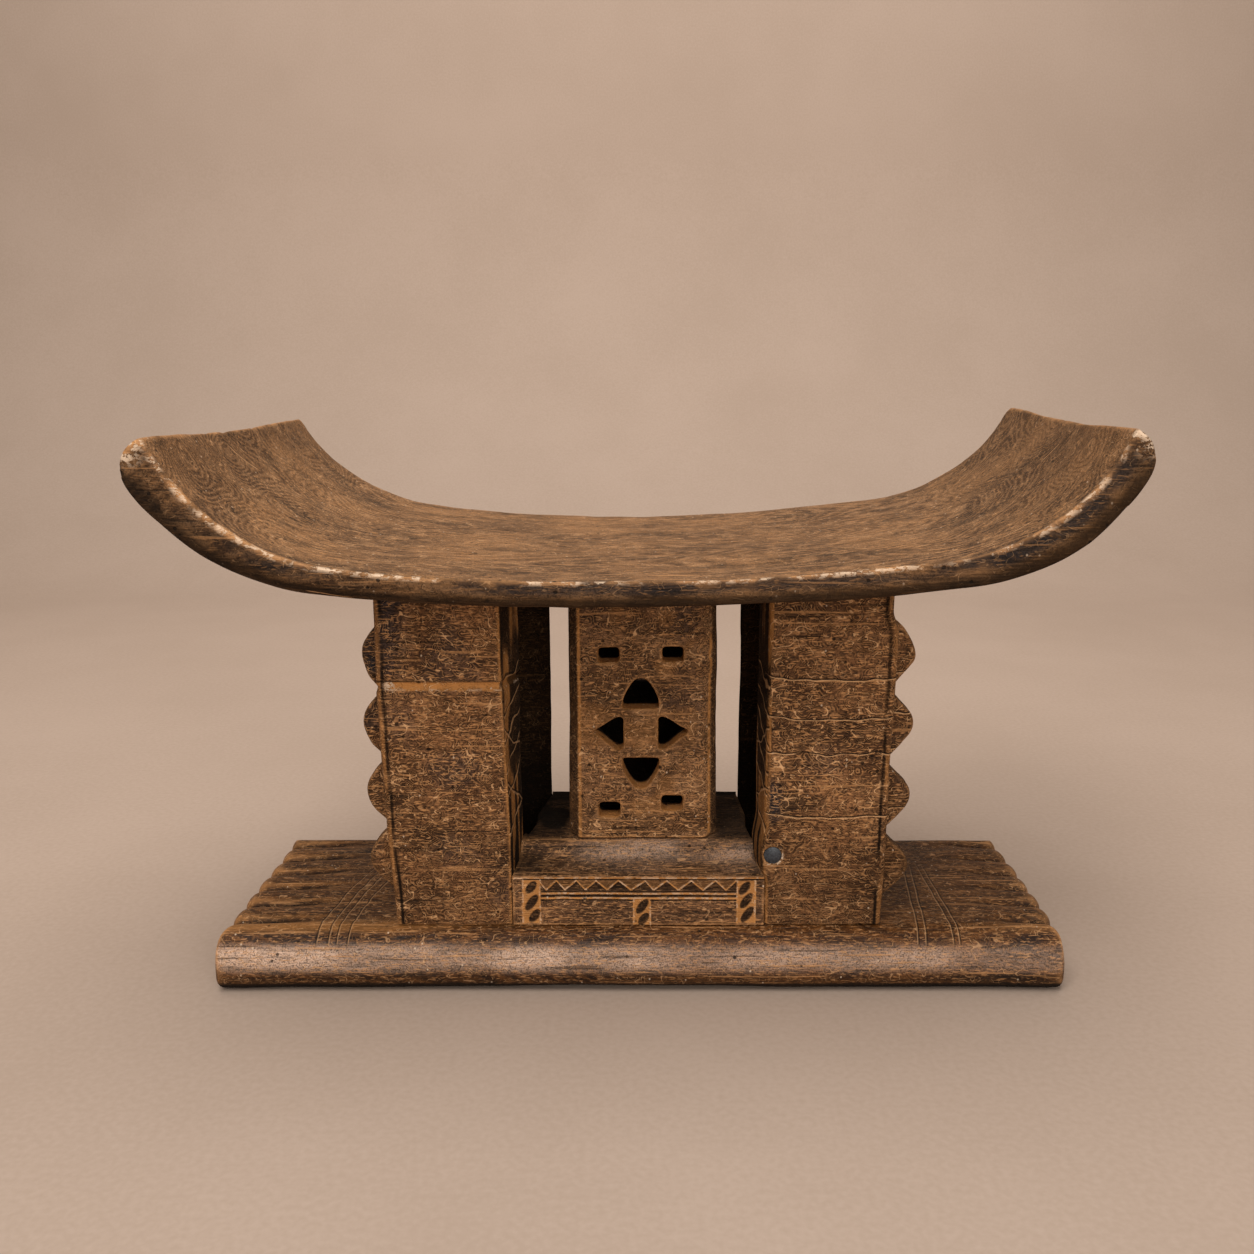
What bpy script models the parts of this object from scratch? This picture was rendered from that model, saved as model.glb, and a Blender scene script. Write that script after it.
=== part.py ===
"""Ashanti stool: a curved seat on four scalloped posts and a pierced hollow column.

The stool stands on a base with lobed ends. Sizes are in metres. X runs along the seat, -Y is
the front and Z is up. The origin is on the floor, under the middle of the stool. The real
stool is carved from one log, so each node here is one member of the carving, and the members
meet with a hairline of clearance.
"""

import math

import bmesh
import bpy
from mathutils import Vector

# Clearance between members that touch, and how far a cutter runs past what it cuts
CLEARANCE = 0.0003
OVERRUN = 0.004
# Share of the clearance within which a corner counts as lying on a cutting plane
SNAP_SHARE = 0.1

# Seat: a dished board with turned-up ends
SEAT_LENGTH = 0.566
SEAT_DEPTH = 0.300
SEAT_MIDDLE_HEIGHT = 0.283
SEAT_RISE = 0.082
SEAT_THICKNESS = 0.0155
SEAT_TIP_RADIUS = 0.021
SEAT_EDGE_RADIUS = 0.0035
# Slopes in degrees where the gentle middle arc ends and where the sharper end arc ends
SEAT_TOP_SLOPES = (7.45, 64.0)
SEAT_UNDER_SLOPES = (6.25, 56.0)
SEAT_TOP_STEPS = (6, 14)
SEAT_UNDER_STEPS = (7, 12)
SEAT_TIP_STEPS = 7

# Base: a thick slab, rolled over at front and back, with seven fingers carved at each end
BASE_LENGTH = 0.555
BASE_DEPTH = 0.182
BASE_HEIGHT = 0.0405
BASE_ROLL_RADIUS = 0.017
BASE_UNDER_RADIUS = 0.005
BASE_END_RADIUS = 0.009
BASE_END_LEAN = 0.003
BASE_TOE_RADIUS = 0.008
BASE_ARC_STEPS = 5
BASE_ARCH_RISE = 0.0045
BASE_FOOT_LENGTH = 0.055
BASE_ARCH_STEPS = 12
FINGER_COUNT = 7
FINGER_DEPTH = 0.008
FLUTE_DEPTH = 0.007
FLUTE_LENGTH = 0.085
FINGER_STEPS = 6
# How much of a finger's width is rounded off by the flutes beside it
FLUTE_WIDTH_SHARE = 0.9

# Posts: one at each corner, leaning out a little, with a scalloped ridge down the outer side
POST_SETBACK = 0.016
POST_FACE = BASE_DEPTH / 2 - POST_SETBACK
POST_DEPTH = 0.033
POST_OUTER = 0.158
POST_FLARE = 0.0045
POST_SLANT = 0.0045
FRONT_LEFT_INNER = 0.084
FRONT_RIGHT_INNER = 0.081
BACK_LEFT_INNER = 0.0705
BACK_RIGHT_INNER = 0.0745
POST_CHAMFER = 0.003
POST_ARRIS_RADIUS = 0.0015
RIDGE_REACH = 0.018
RIDGE_THICKNESS = 0.015
RIDGE_ROOT = 0.0015
RIDGE_SETBACK = 0.012
RIDGE_HEAD = 0.030
LEFT_RIDGE_FOOT = 0.018
RIGHT_RIDGE_FOOT = 0.012
RIDGE_SCALLOPS = 4
SCALLOP_NOSE_RADIUS = 0.013
SCALLOP_STEPS = 8
# Most of the half pitch that a scallop's round nose may take
SCALLOP_NOSE_SHARE = 0.9
RIDGE_EDGE_RADIUS = 0.001

# Band notch: a shallow ledge cut round the front left post
BAND_HEIGHT = 0.1595
BAND_FACE = 0.005
BAND_DEPTH = 0.0014

# Plinth: the block between the posts, with a ledge in front and a raised pad for the column
PLINTH_LIP_HEIGHT = 0.0340
PLINTH_HEIGHT = 0.0490
LEDGE_RISE = 0.0045
RISER_LENGTH = 0.0075
RISER_STEPS = 5
PAD_MARGIN = 0.0015

# Column: hollow, tapering upwards, with blunt corners
COLUMN_WIDTH = 0.099
COLUMN_DEPTH = 0.090
COLUMN_TAPER = 0.0012
COLUMN_CORNER = 0.0072
COLUMN_WALL = 0.0175

# Piercing of the column: four leaves round a square block, and a small window near each corner.
# A window is given by its side and its share of the column's height.
WINDOW_WIDTH = 0.0145
WINDOW_HEIGHT = 0.0105
WINDOW_OFFSET = 0.021
WINDOW_PLACE_SHARES = ((-1, 0.109), (1, 0.134), (-1, 0.71), (1, 0.71))
CROSS_CENTRE_SHARE = 0.407
BLOCK_WIDTH = 0.023
BACK_BLOCK_WIDTH = 0.031
BLOCK_HEIGHT = 0.034
UPRIGHT_LEAF_WIDTH = 0.027
UPRIGHT_LEAF_LENGTH = 0.021
SIDE_LEAF_WIDTH = 0.024
SIDE_LEAF_LENGTH = 0.0195
LEAF_ROUNDNESS = 2.4
LEAF_STEPS = 12

# Plug: a dark round peg let into the foot of the front right post
PLUG_RADIUS = 0.0056
PLUG_LENGTH = 0.014
PLUG_HEIGHT = 0.050
PLUG_MARGIN = 0.0012
PLUG_EDGE_RADIUS = 0.0008
PLUG_STEPS = 28

# Colours of the wood and of the plug, and how rough each is
WOODS = {
    "seat": ((0.155, 0.083, 0.046), 0.55),
    "base": ((0.130, 0.068, 0.037), 0.60),
    "plinth": ((0.100, 0.050, 0.027), 0.70),
    "column": ((0.096, 0.050, 0.027), 0.70),
    "post": ((0.105, 0.054, 0.030), 0.68),
    "plug": ((0.030, 0.034, 0.042), 0.50),
}


# Helpers


def clear_scene():
    for item in list(bpy.data.objects):
        bpy.data.objects.remove(item, do_unlink=True)


def finish_material(name, finish):
    colour, roughness = WOODS[finish]
    material = bpy.data.materials.new(name)
    material.use_nodes = True
    shader = material.node_tree.nodes["Principled BSDF"]
    shader.inputs["Base Color"].default_value = (*colour, 1.0)
    shader.inputs["Roughness"].default_value = roughness
    shader.inputs["Metallic"].default_value = 0.0
    return material


def add_object(name, bm, place, finish=None):
    """Turn a bmesh into an object at a place. Without a finish it is a hidden cutter or root."""
    mesh = bpy.data.meshes.new(name)
    bmesh.ops.recalc_face_normals(bm, faces=bm.faces)
    bm.to_mesh(mesh)
    bm.free()
    thing = bpy.data.objects.new(name, mesh)
    thing.location = place
    bpy.context.scene.collection.objects.link(thing)
    if finish is None:
        thing.hide_render = True
        thing.display_type = "WIRE"
    else:
        mesh.materials.append(finish_material(name, finish))
        mesh.shade_smooth()
        mesh.set_sharp_from_angle(angle=math.radians(32.0))
    return thing


def add_prism(bm, outline, push):
    """Add a closed solid to a bmesh: a flat outline pushed along a vector."""
    face = bm.faces.new([bm.verts.new(point) for point in outline])
    pushed = bmesh.ops.extrude_face_region(bm, geom=[face], use_keep_orig=True)
    moved = [item for item in pushed["geom"] if isinstance(item, bmesh.types.BMVert)]
    bmesh.ops.translate(bm, verts=moved, vec=push)


def round_edges(bm, edges, radius, segments):
    bmesh.ops.bevel(bm, geom=edges, offset=radius, offset_type="OFFSET", segments=segments,
                    profile=0.5, affect="EDGES", clamp_overlap=True, material=-1)


def sharp_edges(bm, degrees):
    limit = math.radians(degrees)
    return [edge for edge in bm.edges if edge.calc_face_angle(0.0) > limit]


def cut(thing, cutter, operation="DIFFERENCE"):
    boolean = thing.modifiers.new(cutter.name, "BOOLEAN")
    boolean.operation = operation
    boolean.solver = "EXACT"
    boolean.object = cutter


# Seat outline


def two_arcs(reach, rise, slopes, steps):
    """Points of a curve that leaves level, bends gently and then sharply up to its end.

    The radii of the two tangent arcs are worked out so that they end at (reach, rise).
    """
    gentle, steep = (math.radians(angle) for angle in slopes)
    run_1, run_2 = math.sin(gentle), math.sin(steep) - math.sin(gentle)
    lift_1, lift_2 = 1 - math.cos(gentle), math.cos(gentle) - math.cos(steep)
    span = run_1 * lift_2 - run_2 * lift_1
    radius_1 = (reach * lift_2 - rise * run_2) / span
    radius_2 = (rise * run_1 - reach * lift_1) / span
    points = []
    for step in range(steps[0] + 1):
        angle = gentle * step / steps[0]
        points.append((radius_1 * math.sin(angle), radius_1 * (1 - math.cos(angle))))
    join_x, join_z = points[-1]
    for step in range(1, steps[1] + 1):
        angle = gentle + (steep - gentle) * step / steps[1]
        x = join_x + radius_2 * (math.sin(angle) - math.sin(gentle))
        z = join_z + radius_2 * (math.cos(gentle) - math.cos(angle))
        points.append((x, z))
    return points


def seat_curves():
    """Right half of the seat's outline: top and underside from the middle out, and the tip."""
    top_slope = math.radians(SEAT_TOP_SLOPES[1])
    under_slope = math.radians(SEAT_UNDER_SLOPES[1])
    centre_x = SEAT_LENGTH / 2 - SEAT_TIP_RADIUS
    centre_z = SEAT_RISE - SEAT_TIP_RADIUS * math.sin(top_slope)
    tip = []
    first = under_slope - math.pi / 2
    for step in range(SEAT_TIP_STEPS + 1):
        angle = first + (top_slope - first) * step / SEAT_TIP_STEPS
        x = centre_x + SEAT_TIP_RADIUS * math.cos(angle)
        tip.append((x, centre_z + SEAT_TIP_RADIUS * math.sin(angle)))
    top = two_arcs(tip[-1][0], SEAT_RISE, SEAT_TOP_SLOPES, SEAT_TOP_STEPS)
    under_rise = tip[0][1] + SEAT_THICKNESS
    under = two_arcs(tip[0][0], under_rise, SEAT_UNDER_SLOPES, SEAT_UNDER_STEPS)
    under = [(x, z - SEAT_THICKNESS) for x, z in under]
    return top, under, tip


def build_seat():
    top, under, tip = seat_curves()
    right = under + tip[1:-1] + top[:0:-1]
    left = [(-x, z) for x, z in right[:0:-1]]
    outline = right + [top[0]] + left
    bm = bmesh.new()
    add_prism(bm, [(x, -SEAT_DEPTH / 2, z) for x, z in outline], (0, SEAT_DEPTH, 0))
    bmesh.ops.recalc_face_normals(bm, faces=bm.faces)
    round_edges(bm, sharp_edges(bm, 50.0), SEAT_EDGE_RADIUS, 3)
    return add_object("seat", bm, (0, 0, SEAT_MIDDLE_HEIGHT), "seat")


def build_seat_relief():
    """Cutter with the seat's own underside, lowered by the clearance, for what stands below."""
    under = seat_curves()[1]
    half = [(x, z - CLEARANCE) for x, z in under]
    ceiling = SEAT_RISE + OVERRUN
    outline = [(-x, z) for x, z in half[:0:-1]] + half
    outline += [(half[-1][0], ceiling), (-half[-1][0], ceiling)]
    bm = bmesh.new()
    front = -POST_FACE - OVERRUN
    add_prism(bm, [(x, front, z) for x, z in outline], (0, -2 * front, 0))
    return add_object("seat_relief", bm, (0, 0, SEAT_MIDDLE_HEIGHT))


# Base


def arc(centre, radius, first, last, steps):
    """Points of an arc between two angles in degrees."""
    points = []
    for step in range(steps + 1):
        angle = math.radians(first + (last - first) * step / steps)
        points.append((centre[0] + radius * math.cos(angle), centre[1] + radius * math.sin(angle)))
    return points


def base_side():
    """Side view of the base: flat feet, a low arch between them, and rounded ends."""
    inner = BASE_LENGTH / 2 - BASE_FOOT_LENGTH
    under = []
    for step in range(BASE_ARCH_STEPS + 1):
        x = inner * (2 * step / BASE_ARCH_STEPS - 1)
        under.append((x, BASE_ARCH_RISE * math.cos(x / inner * math.pi / 2) ** 2))
    toe = (BASE_LENGTH / 2 - BASE_TOE_RADIUS, BASE_TOE_RADIUS)
    shoulder = (BASE_LENGTH / 2 - BASE_END_LEAN - BASE_END_RADIUS, BASE_HEIGHT - BASE_END_RADIUS)
    right = arc(toe, BASE_TOE_RADIUS, -90, 0, BASE_ARC_STEPS)
    right += arc(shoulder, BASE_END_RADIUS, 0, 90, BASE_ARC_STEPS)
    return under + right + [(-x, z) for x, z in reversed(right)]


def base_roll():
    """End view of what the rolled front and back leave, (across, up), open below and above."""
    reach, top = BASE_DEPTH / 2, BASE_HEIGHT
    centre = (reach - BASE_ROLL_RADIUS, top - BASE_ROLL_RADIUS)
    right = [(reach + OVERRUN, -OVERRUN), (reach + OVERRUN, centre[1])]
    right += arc(centre, BASE_ROLL_RADIUS, 0, 90, BASE_ARC_STEPS)
    right.append((centre[0], top + OVERRUN))
    return right + [(-y, z) for y, z in reversed(right)]


def finger_ends():
    """Plan of the base: each end is a row of round finger tips, the outer ones at the corners."""
    pitch = BASE_DEPTH / FINGER_COUNT
    right = []
    for finger in range(FINGER_COUNT):
        middle = pitch * (finger + 0.5) - BASE_DEPTH / 2
        steps = FINGER_STEPS + 1 if finger == FINGER_COUNT - 1 else FINGER_STEPS
        for step in range(steps):
            across = 2 * step / FINGER_STEPS - 1
            back = FINGER_DEPTH * (1 - math.sqrt(1 - (across * FLUTE_WIDTH_SHARE) ** 2))
            right.append((BASE_LENGTH / 2 - back, middle + pitch / 2 * across))
    return right + [(-x, -y) for x, y in right]


def build_base():
    bm = bmesh.new()
    add_prism(bm, [(x, -BASE_DEPTH / 2, z) for x, z in base_side()], (0, BASE_DEPTH, 0))
    bmesh.ops.recalc_face_normals(bm, faces=bm.faces)
    round_edges(bm, sharp_edges(bm, 60.0), BASE_UNDER_RADIUS, 3)
    base = add_object("base", bm, (0, 0, 0), "base")
    bm = bmesh.new()
    reach = BASE_LENGTH / 2 + OVERRUN
    add_prism(bm, [(-reach, y, z) for y, z in base_roll()], (2 * reach, 0, 0))
    cut(base, add_object("base_roll", bm, (0, 0, 0)), "INTERSECT")
    bm = bmesh.new()
    add_prism(bm, [(x, y, -OVERRUN) for x, y in finger_ends()], (0, 0, BASE_HEIGHT + 2 * OVERRUN))
    cut(base, add_object("base_fingers", bm, (0, 0, 0)), "INTERSECT")
    cut(base, build_flutes())
    return base


def flute_section():
    """Outline of the gap between two fingers: a point with a swelling side to left and right."""
    half = BASE_DEPTH / FINGER_COUNT * FLUTE_WIDTH_SHARE / 2
    right = []
    for step in range(FINGER_STEPS + 1):
        angle = math.pi / 2 * step / FINGER_STEPS
        right.append((half * (1 - math.cos(angle)), FLUTE_DEPTH * (math.sin(angle) - 1)))
    rim = OVERRUN + FLUTE_DEPTH
    left = [(-across, down) for across, down in right[:0:-1]]
    return left + right + [(half, rim), (-half, rim)]


def build_flutes():
    """Cutter for the flutes on top, deepest at the ends and fading out towards the posts."""
    pitch = BASE_DEPTH / FINGER_COUNT
    run = FLUTE_LENGTH + 2 * OVERRUN
    climb = FLUTE_DEPTH * run / FLUTE_LENGTH
    low = BASE_HEIGHT - FLUTE_DEPTH * OVERRUN / FLUTE_LENGTH
    bm = bmesh.new()
    for side in (-1, 1):
        outer = side * (BASE_LENGTH / 2 + OVERRUN)
        for gap in range(1, FINGER_COUNT):
            middle = pitch * gap - BASE_DEPTH / 2
            outline = [(outer, middle + across, low + down) for across, down in flute_section()]
            add_prism(bm, outline, (-side * run, 0, climb))
    return add_object("base_flutes", bm, (0, 0, 0))


# Posts


def seat_underside_at(reach):
    """Height of the seat's underside above the floor at a distance from the middle."""
    under = seat_curves()[1]
    for (x_1, z_1), (x_2, z_2) in zip(under, under[1:]):
        if x_1 <= reach <= x_2:
            return SEAT_MIDDLE_HEIGHT + z_1 + (z_2 - z_1) * (reach - x_1) / (x_2 - x_1)
    return SEAT_MIDDLE_HEIGHT + under[-1][1]


def post_height():
    """Height of a post at its outer side, above the base."""
    return seat_underside_at(POST_OUTER + POST_FLARE) - BASE_HEIGHT


def post_footprint(inner):
    """Plan of a post's foot, as (out from the middle, towards its own face)."""
    rear = POST_FACE - POST_DEPTH
    return [(inner, POST_FACE), (POST_OUTER, POST_FACE), (POST_OUTER, rear),
            (inner - POST_SLANT, rear)]


def scallop_outline(side):
    """Side view of a ridge: round noses joined by straight flanks, (out, up) from the foot."""
    foot = LEFT_RIDGE_FOOT if side < 0 else RIGHT_RIDGE_FOOT
    head = post_height() - RIDGE_HEAD
    pitch = (head - foot) / RIDGE_SCALLOPS
    nose = min(SCALLOP_NOSE_RADIUS, pitch / 2 * SCALLOP_NOSE_SHARE)
    centre = POST_OUTER + RIDGE_REACH - nose

    def valley(up):
        return POST_OUTER + POST_FLARE * up / post_height() - RIDGE_ROOT

    def turn(up):
        """Angle at which a straight flank from a valley meets the round nose."""
        inward, half = centre - valley(up), pitch / 2
        return math.pi - math.atan2(half, inward) - math.acos(nose / math.hypot(inward, half))

    points = [(POST_OUTER - POST_DEPTH / 2, foot), (valley(foot), foot)]
    for scallop in range(RIDGE_SCALLOPS):
        low = foot + pitch * scallop
        first, last = -turn(low), turn(low + pitch)
        for step in range(SCALLOP_STEPS + 1):
            angle = first + (last - first) * step / SCALLOP_STEPS
            up = low + pitch / 2 + nose * math.sin(angle)
            points.append((centre + nose * math.cos(angle), up))
        points.append((valley(low + pitch), low + pitch))
    return points + [(POST_OUTER - POST_DEPTH / 2, head)]


def build_ridge(name, side, row):
    face = POST_FACE - RIDGE_SETBACK
    bm = bmesh.new()
    outline = [(side * out, row * face, up) for out, up in scallop_outline(side)]
    add_prism(bm, outline, (0, -row * RIDGE_THICKNESS, 0))
    bmesh.ops.recalc_face_normals(bm, faces=bm.faces)
    round_edges(bm, sharp_edges(bm, 80.0), RIDGE_EDGE_RADIUS, 1)
    return add_object(name + "_ridge", bm, (0, 0, BASE_HEIGHT + CLEARANCE))


def cut_band(bm):
    """Cut the ledge round a post: pinch the ring of corners at the top of the ledge inwards."""
    for height in (BAND_HEIGHT, BAND_HEIGHT + BAND_FACE, BAND_HEIGHT + BAND_FACE + CLEARANCE):
        whole = bm.verts[:] + bm.edges[:] + bm.faces[:]
        bmesh.ops.bisect_plane(bm, geom=whole, dist=CLEARANCE * SNAP_SHARE, plane_co=(0, 0, height),
                               plane_no=(0, 0, 1))
    ledge = BAND_HEIGHT + BAND_FACE
    ring = [vert for vert in bm.verts if abs(vert.co.z - ledge) < CLEARANCE * SNAP_SHARE]
    middle = sum((vert.co for vert in ring), Vector()) / len(ring)
    for vert in ring:
        vert.co.x -= math.copysign(BAND_DEPTH, vert.co.x - middle.x)
        vert.co.y -= math.copysign(BAND_DEPTH, vert.co.y - middle.y)


def build_post(name, side, row, inner, relief, band=False):
    tall = post_height() + OVERRUN
    bm = bmesh.new()
    add_prism(bm, [(side * out, row * deep, 0) for out, deep in post_footprint(inner)],
              (0, 0, tall))
    flare = POST_FLARE * tall / post_height()
    rear = POST_FACE - POST_DEPTH
    for vert in bm.verts:
        if vert.co.z > 0 and abs(vert.co.x) > (POST_OUTER + inner) / 2:
            vert.co.x += side * flare
    bmesh.ops.recalc_face_normals(bm, faces=bm.faces)
    upright = [edge for edge in bm.edges if (edge.verts[0].co.z > 0) != (edge.verts[1].co.z > 0)]
    outer_front = [edge for edge in upright if abs(edge.verts[0].co.x) > inner
                   and abs(edge.verts[0].co.y) > rear]
    others = [edge for edge in upright if edge not in outer_front]
    round_edges(bm, outer_front, POST_CHAMFER, 2)
    others = [edge for edge in others if edge.is_valid]
    round_edges(bm, others, POST_ARRIS_RADIUS, 2)
    if band:
        cut_band(bm)
    post = add_object(name, bm, (0, 0, BASE_HEIGHT + CLEARANCE), "post")
    cut(post, build_ridge(name, side, row), "UNION")
    cut(post, relief)
    return post


# Plinth


def plinth_section():
    """Side view of the plinth, (towards the back, up) from its foot."""
    face = POST_FACE
    pad = COLUMN_DEPTH / 2 + PAD_MARGIN
    toe = pad + RISER_LENGTH
    ledge = PLINTH_LIP_HEIGHT + LEDGE_RISE
    half = [(-face, 0), (-face, PLINTH_LIP_HEIGHT), (-toe, ledge)]
    for step in range(1, RISER_STEPS + 1):
        along = step / RISER_STEPS
        ease = along * along * (3 - 2 * along)
        half.append((-toe + RISER_LENGTH * along, ledge + (PLINTH_HEIGHT - ledge) * ease))
    return half + [(-deep, up) for deep, up in reversed(half)]


def plinth_plan():
    """Plan of the plinth: it fills the space between the posts, less the clearance."""
    rear = POST_FACE - POST_DEPTH
    inner_rows = ((-1, FRONT_LEFT_INNER, FRONT_RIGHT_INNER), (1, BACK_LEFT_INNER, BACK_RIGHT_INNER))
    left, right = [], []
    for row, inner_left, inner_right in inner_rows:
        slope = POST_SLANT / POST_DEPTH
        stations = ((POST_FACE + OVERRUN, slope * OVERRUN), (rear, -POST_SLANT))
        for deep, shift in stations if row < 0 else reversed(stations):
            left.append((-(inner_left + shift - CLEARANCE), row * deep))
            right.append((inner_right + shift - CLEARANCE, row * deep))
    return left + right[::-1]


def build_plinth():
    bm = bmesh.new()
    reach = max(FRONT_LEFT_INNER, FRONT_RIGHT_INNER, BACK_LEFT_INNER, BACK_RIGHT_INNER)
    reach += 2 * OVERRUN
    add_prism(bm, [(-reach, deep, up) for deep, up in plinth_section()], (2 * reach, 0, 0))
    plinth = add_object("plinth", bm, (0, 0, BASE_HEIGHT + CLEARANCE), "plinth")
    bm = bmesh.new()
    add_prism(bm, [(x, y, -OVERRUN) for x, y in plinth_plan()],
              (0, 0, PLINTH_HEIGHT + 2 * OVERRUN))
    plan = add_object("plinth_plan", bm, (0, 0, BASE_HEIGHT + CLEARANCE))
    cut(plinth, plan, "INTERSECT")
    return plinth


# Column


def column_foot():
    return BASE_HEIGHT + PLINTH_HEIGHT + 2 * CLEARANCE


def column_height():
    return seat_underside_at(0) - column_foot()


def rectangle(width, depth, corner=0.0):
    """Plan of a rectangle whose corners may be cut off."""
    x, y = width / 2, depth / 2
    if not corner:
        return [(-x, -y), (x, -y), (x, y), (-x, y)]
    return [(-x + corner, -y), (x - corner, -y), (x, -y + corner), (x, y - corner),
            (x - corner, y), (-x + corner, y), (-x, y - corner), (-x, -y + corner)]


def leaf(width, length):
    """Outline of a leaf that grows up from a straight foot, (across, up)."""
    points = []
    for step in range(LEAF_STEPS + 1):
        angle = math.pi * step / LEAF_STEPS
        across = math.copysign(abs(math.cos(angle)) ** (2 / LEAF_ROUNDNESS), math.cos(angle))
        points.append((width / 2 * across, length * math.sin(angle) ** (2 / LEAF_ROUNDNESS)))
    return points


def piercing_outlines(block_width):
    """Outlines of the eight holes of one wall, (across, up) from the column's foot."""
    tall = column_height()
    outlines = []
    for side, share in WINDOW_PLACE_SHARES:
        window = rectangle(WINDOW_WIDTH, WINDOW_HEIGHT)
        outlines.append([(side * WINDOW_OFFSET + x, tall * share + z) for x, z in window])
    centre = tall * CROSS_CENTRE_SHARE
    for way in (-1, 1):
        upright = leaf(UPRIGHT_LEAF_WIDTH, UPRIGHT_LEAF_LENGTH)
        outlines.append([(x, centre + way * (BLOCK_HEIGHT / 2 + z)) for x, z in upright])
        sideways = leaf(SIDE_LEAF_WIDTH, SIDE_LEAF_LENGTH)
        outlines.append([(way * (block_width / 2 + z), centre + x) for x, z in sideways])
    return outlines


def build_column(relief):
    tall = column_height() + OVERRUN
    bm = bmesh.new()
    plan = rectangle(COLUMN_WIDTH, COLUMN_DEPTH, COLUMN_CORNER)
    add_prism(bm, [(x, y, 0) for x, y in plan], (0, 0, tall))
    narrow = 1 - 2 * COLUMN_TAPER / COLUMN_WIDTH
    upper = [vert for vert in bm.verts if vert.co.z > 0]
    bmesh.ops.scale(bm, verts=upper, vec=(narrow, 1, 1))
    bmesh.ops.recalc_face_normals(bm, faces=bm.faces)
    corners = [edge for edge in bm.edges if edge.verts[0].co.z != edge.verts[1].co.z]
    round_edges(bm, corners, POST_ARRIS_RADIUS, 2)
    column = add_object("centre_column", bm, (0, 0, column_foot()), "column")
    cut(column, build_hollow())
    cut(column, build_piercing("front_piercing", -1, BLOCK_WIDTH))
    cut(column, build_piercing("back_piercing", 1, BACK_BLOCK_WIDTH))
    cut(column, relief)
    return column


def build_hollow():
    bm = bmesh.new()
    width = COLUMN_WIDTH - 2 * COLUMN_WALL - COLUMN_TAPER
    hollow = rectangle(width, COLUMN_DEPTH - 2 * COLUMN_WALL, COLUMN_CORNER)
    add_prism(bm, [(x, y, -OVERRUN) for x, y in hollow], (0, 0, column_height() + 3 * OVERRUN))
    return add_object("column_hollow", bm, (0, 0, column_foot()))


def build_piercing(name, row, block_width):
    """Cutter for the holes of the front wall (row -1) or of the back wall (row 1)."""
    bm = bmesh.new()
    reach = row * (COLUMN_DEPTH / 2 + OVERRUN)
    for outline in piercing_outlines(block_width):
        add_prism(bm, [(x, reach, z) for x, z in outline], (0, -row * (COLUMN_WALL + 2 * OVERRUN), 0))
    return add_object(name, bm, (0, 0, column_foot()))


# Plug


def round_bar(radius, length):
    """A bar that lies along Y, with its middle at the origin."""
    bm = bmesh.new()
    bmesh.ops.create_cone(bm, cap_ends=True, segments=PLUG_STEPS, radius1=radius, radius2=radius,
                          depth=length)
    for vert in bm.verts:
        vert.co = Vector((vert.co.x, -vert.co.z, vert.co.y))
    bmesh.ops.recalc_face_normals(bm, faces=bm.faces)
    return bm


def build_plug(post):
    place_x = FRONT_RIGHT_INNER + PLUG_MARGIN + PLUG_RADIUS
    place = (place_x, -POST_FACE + PLUG_LENGTH / 2, BASE_HEIGHT + PLUG_HEIGHT)
    socket = round_bar(PLUG_RADIUS + CLEARANCE, PLUG_LENGTH + 2 * CLEARANCE)
    front = [vert for vert in socket.verts if vert.co.y < 0]
    bmesh.ops.translate(socket, verts=front, vec=(0, -OVERRUN, 0))
    cut(post, add_object("plug_socket", socket, place))
    bm = round_bar(PLUG_RADIUS, PLUG_LENGTH)
    rim = [edge for edge in sharp_edges(bm, 60.0) if edge.verts[0].co.y < 0]
    round_edges(bm, rim, PLUG_EDGE_RADIUS, 2)
    return add_object("plug", bm, place, "plug")


# The whole stool


def build_stool():
    clear_scene()
    stool = bpy.data.objects.new("stool", None)
    bpy.context.scene.collection.objects.link(stool)
    relief = build_seat_relief()
    build_seat()
    build_base()
    build_plinth()
    build_column(relief)
    build_post("post_front_left", -1, -1, FRONT_LEFT_INNER, relief, band=True)
    right_post = build_post("post_front_right", 1, -1, FRONT_RIGHT_INNER, relief)
    build_post("post_back_left", -1, 1, BACK_LEFT_INNER, relief)
    build_post("post_back_right", 1, 1, BACK_RIGHT_INNER, relief)
    build_plug(right_post)
    for thing in bpy.context.scene.objects:
        if thing is not stool:
            thing.parent = stool


build_stool()
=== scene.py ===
# %% [markdown]
# # A stool carved from one log
#
# The drawing model gives the members of this stool at their real size: seat, base, plinth,
# column, four posts and a plug. This lesson dresses each of them as old carved wood. Each member
# gets a fine mesh, hand-made unevenness, cut ornament and a wood finish made only from nodes.

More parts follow.
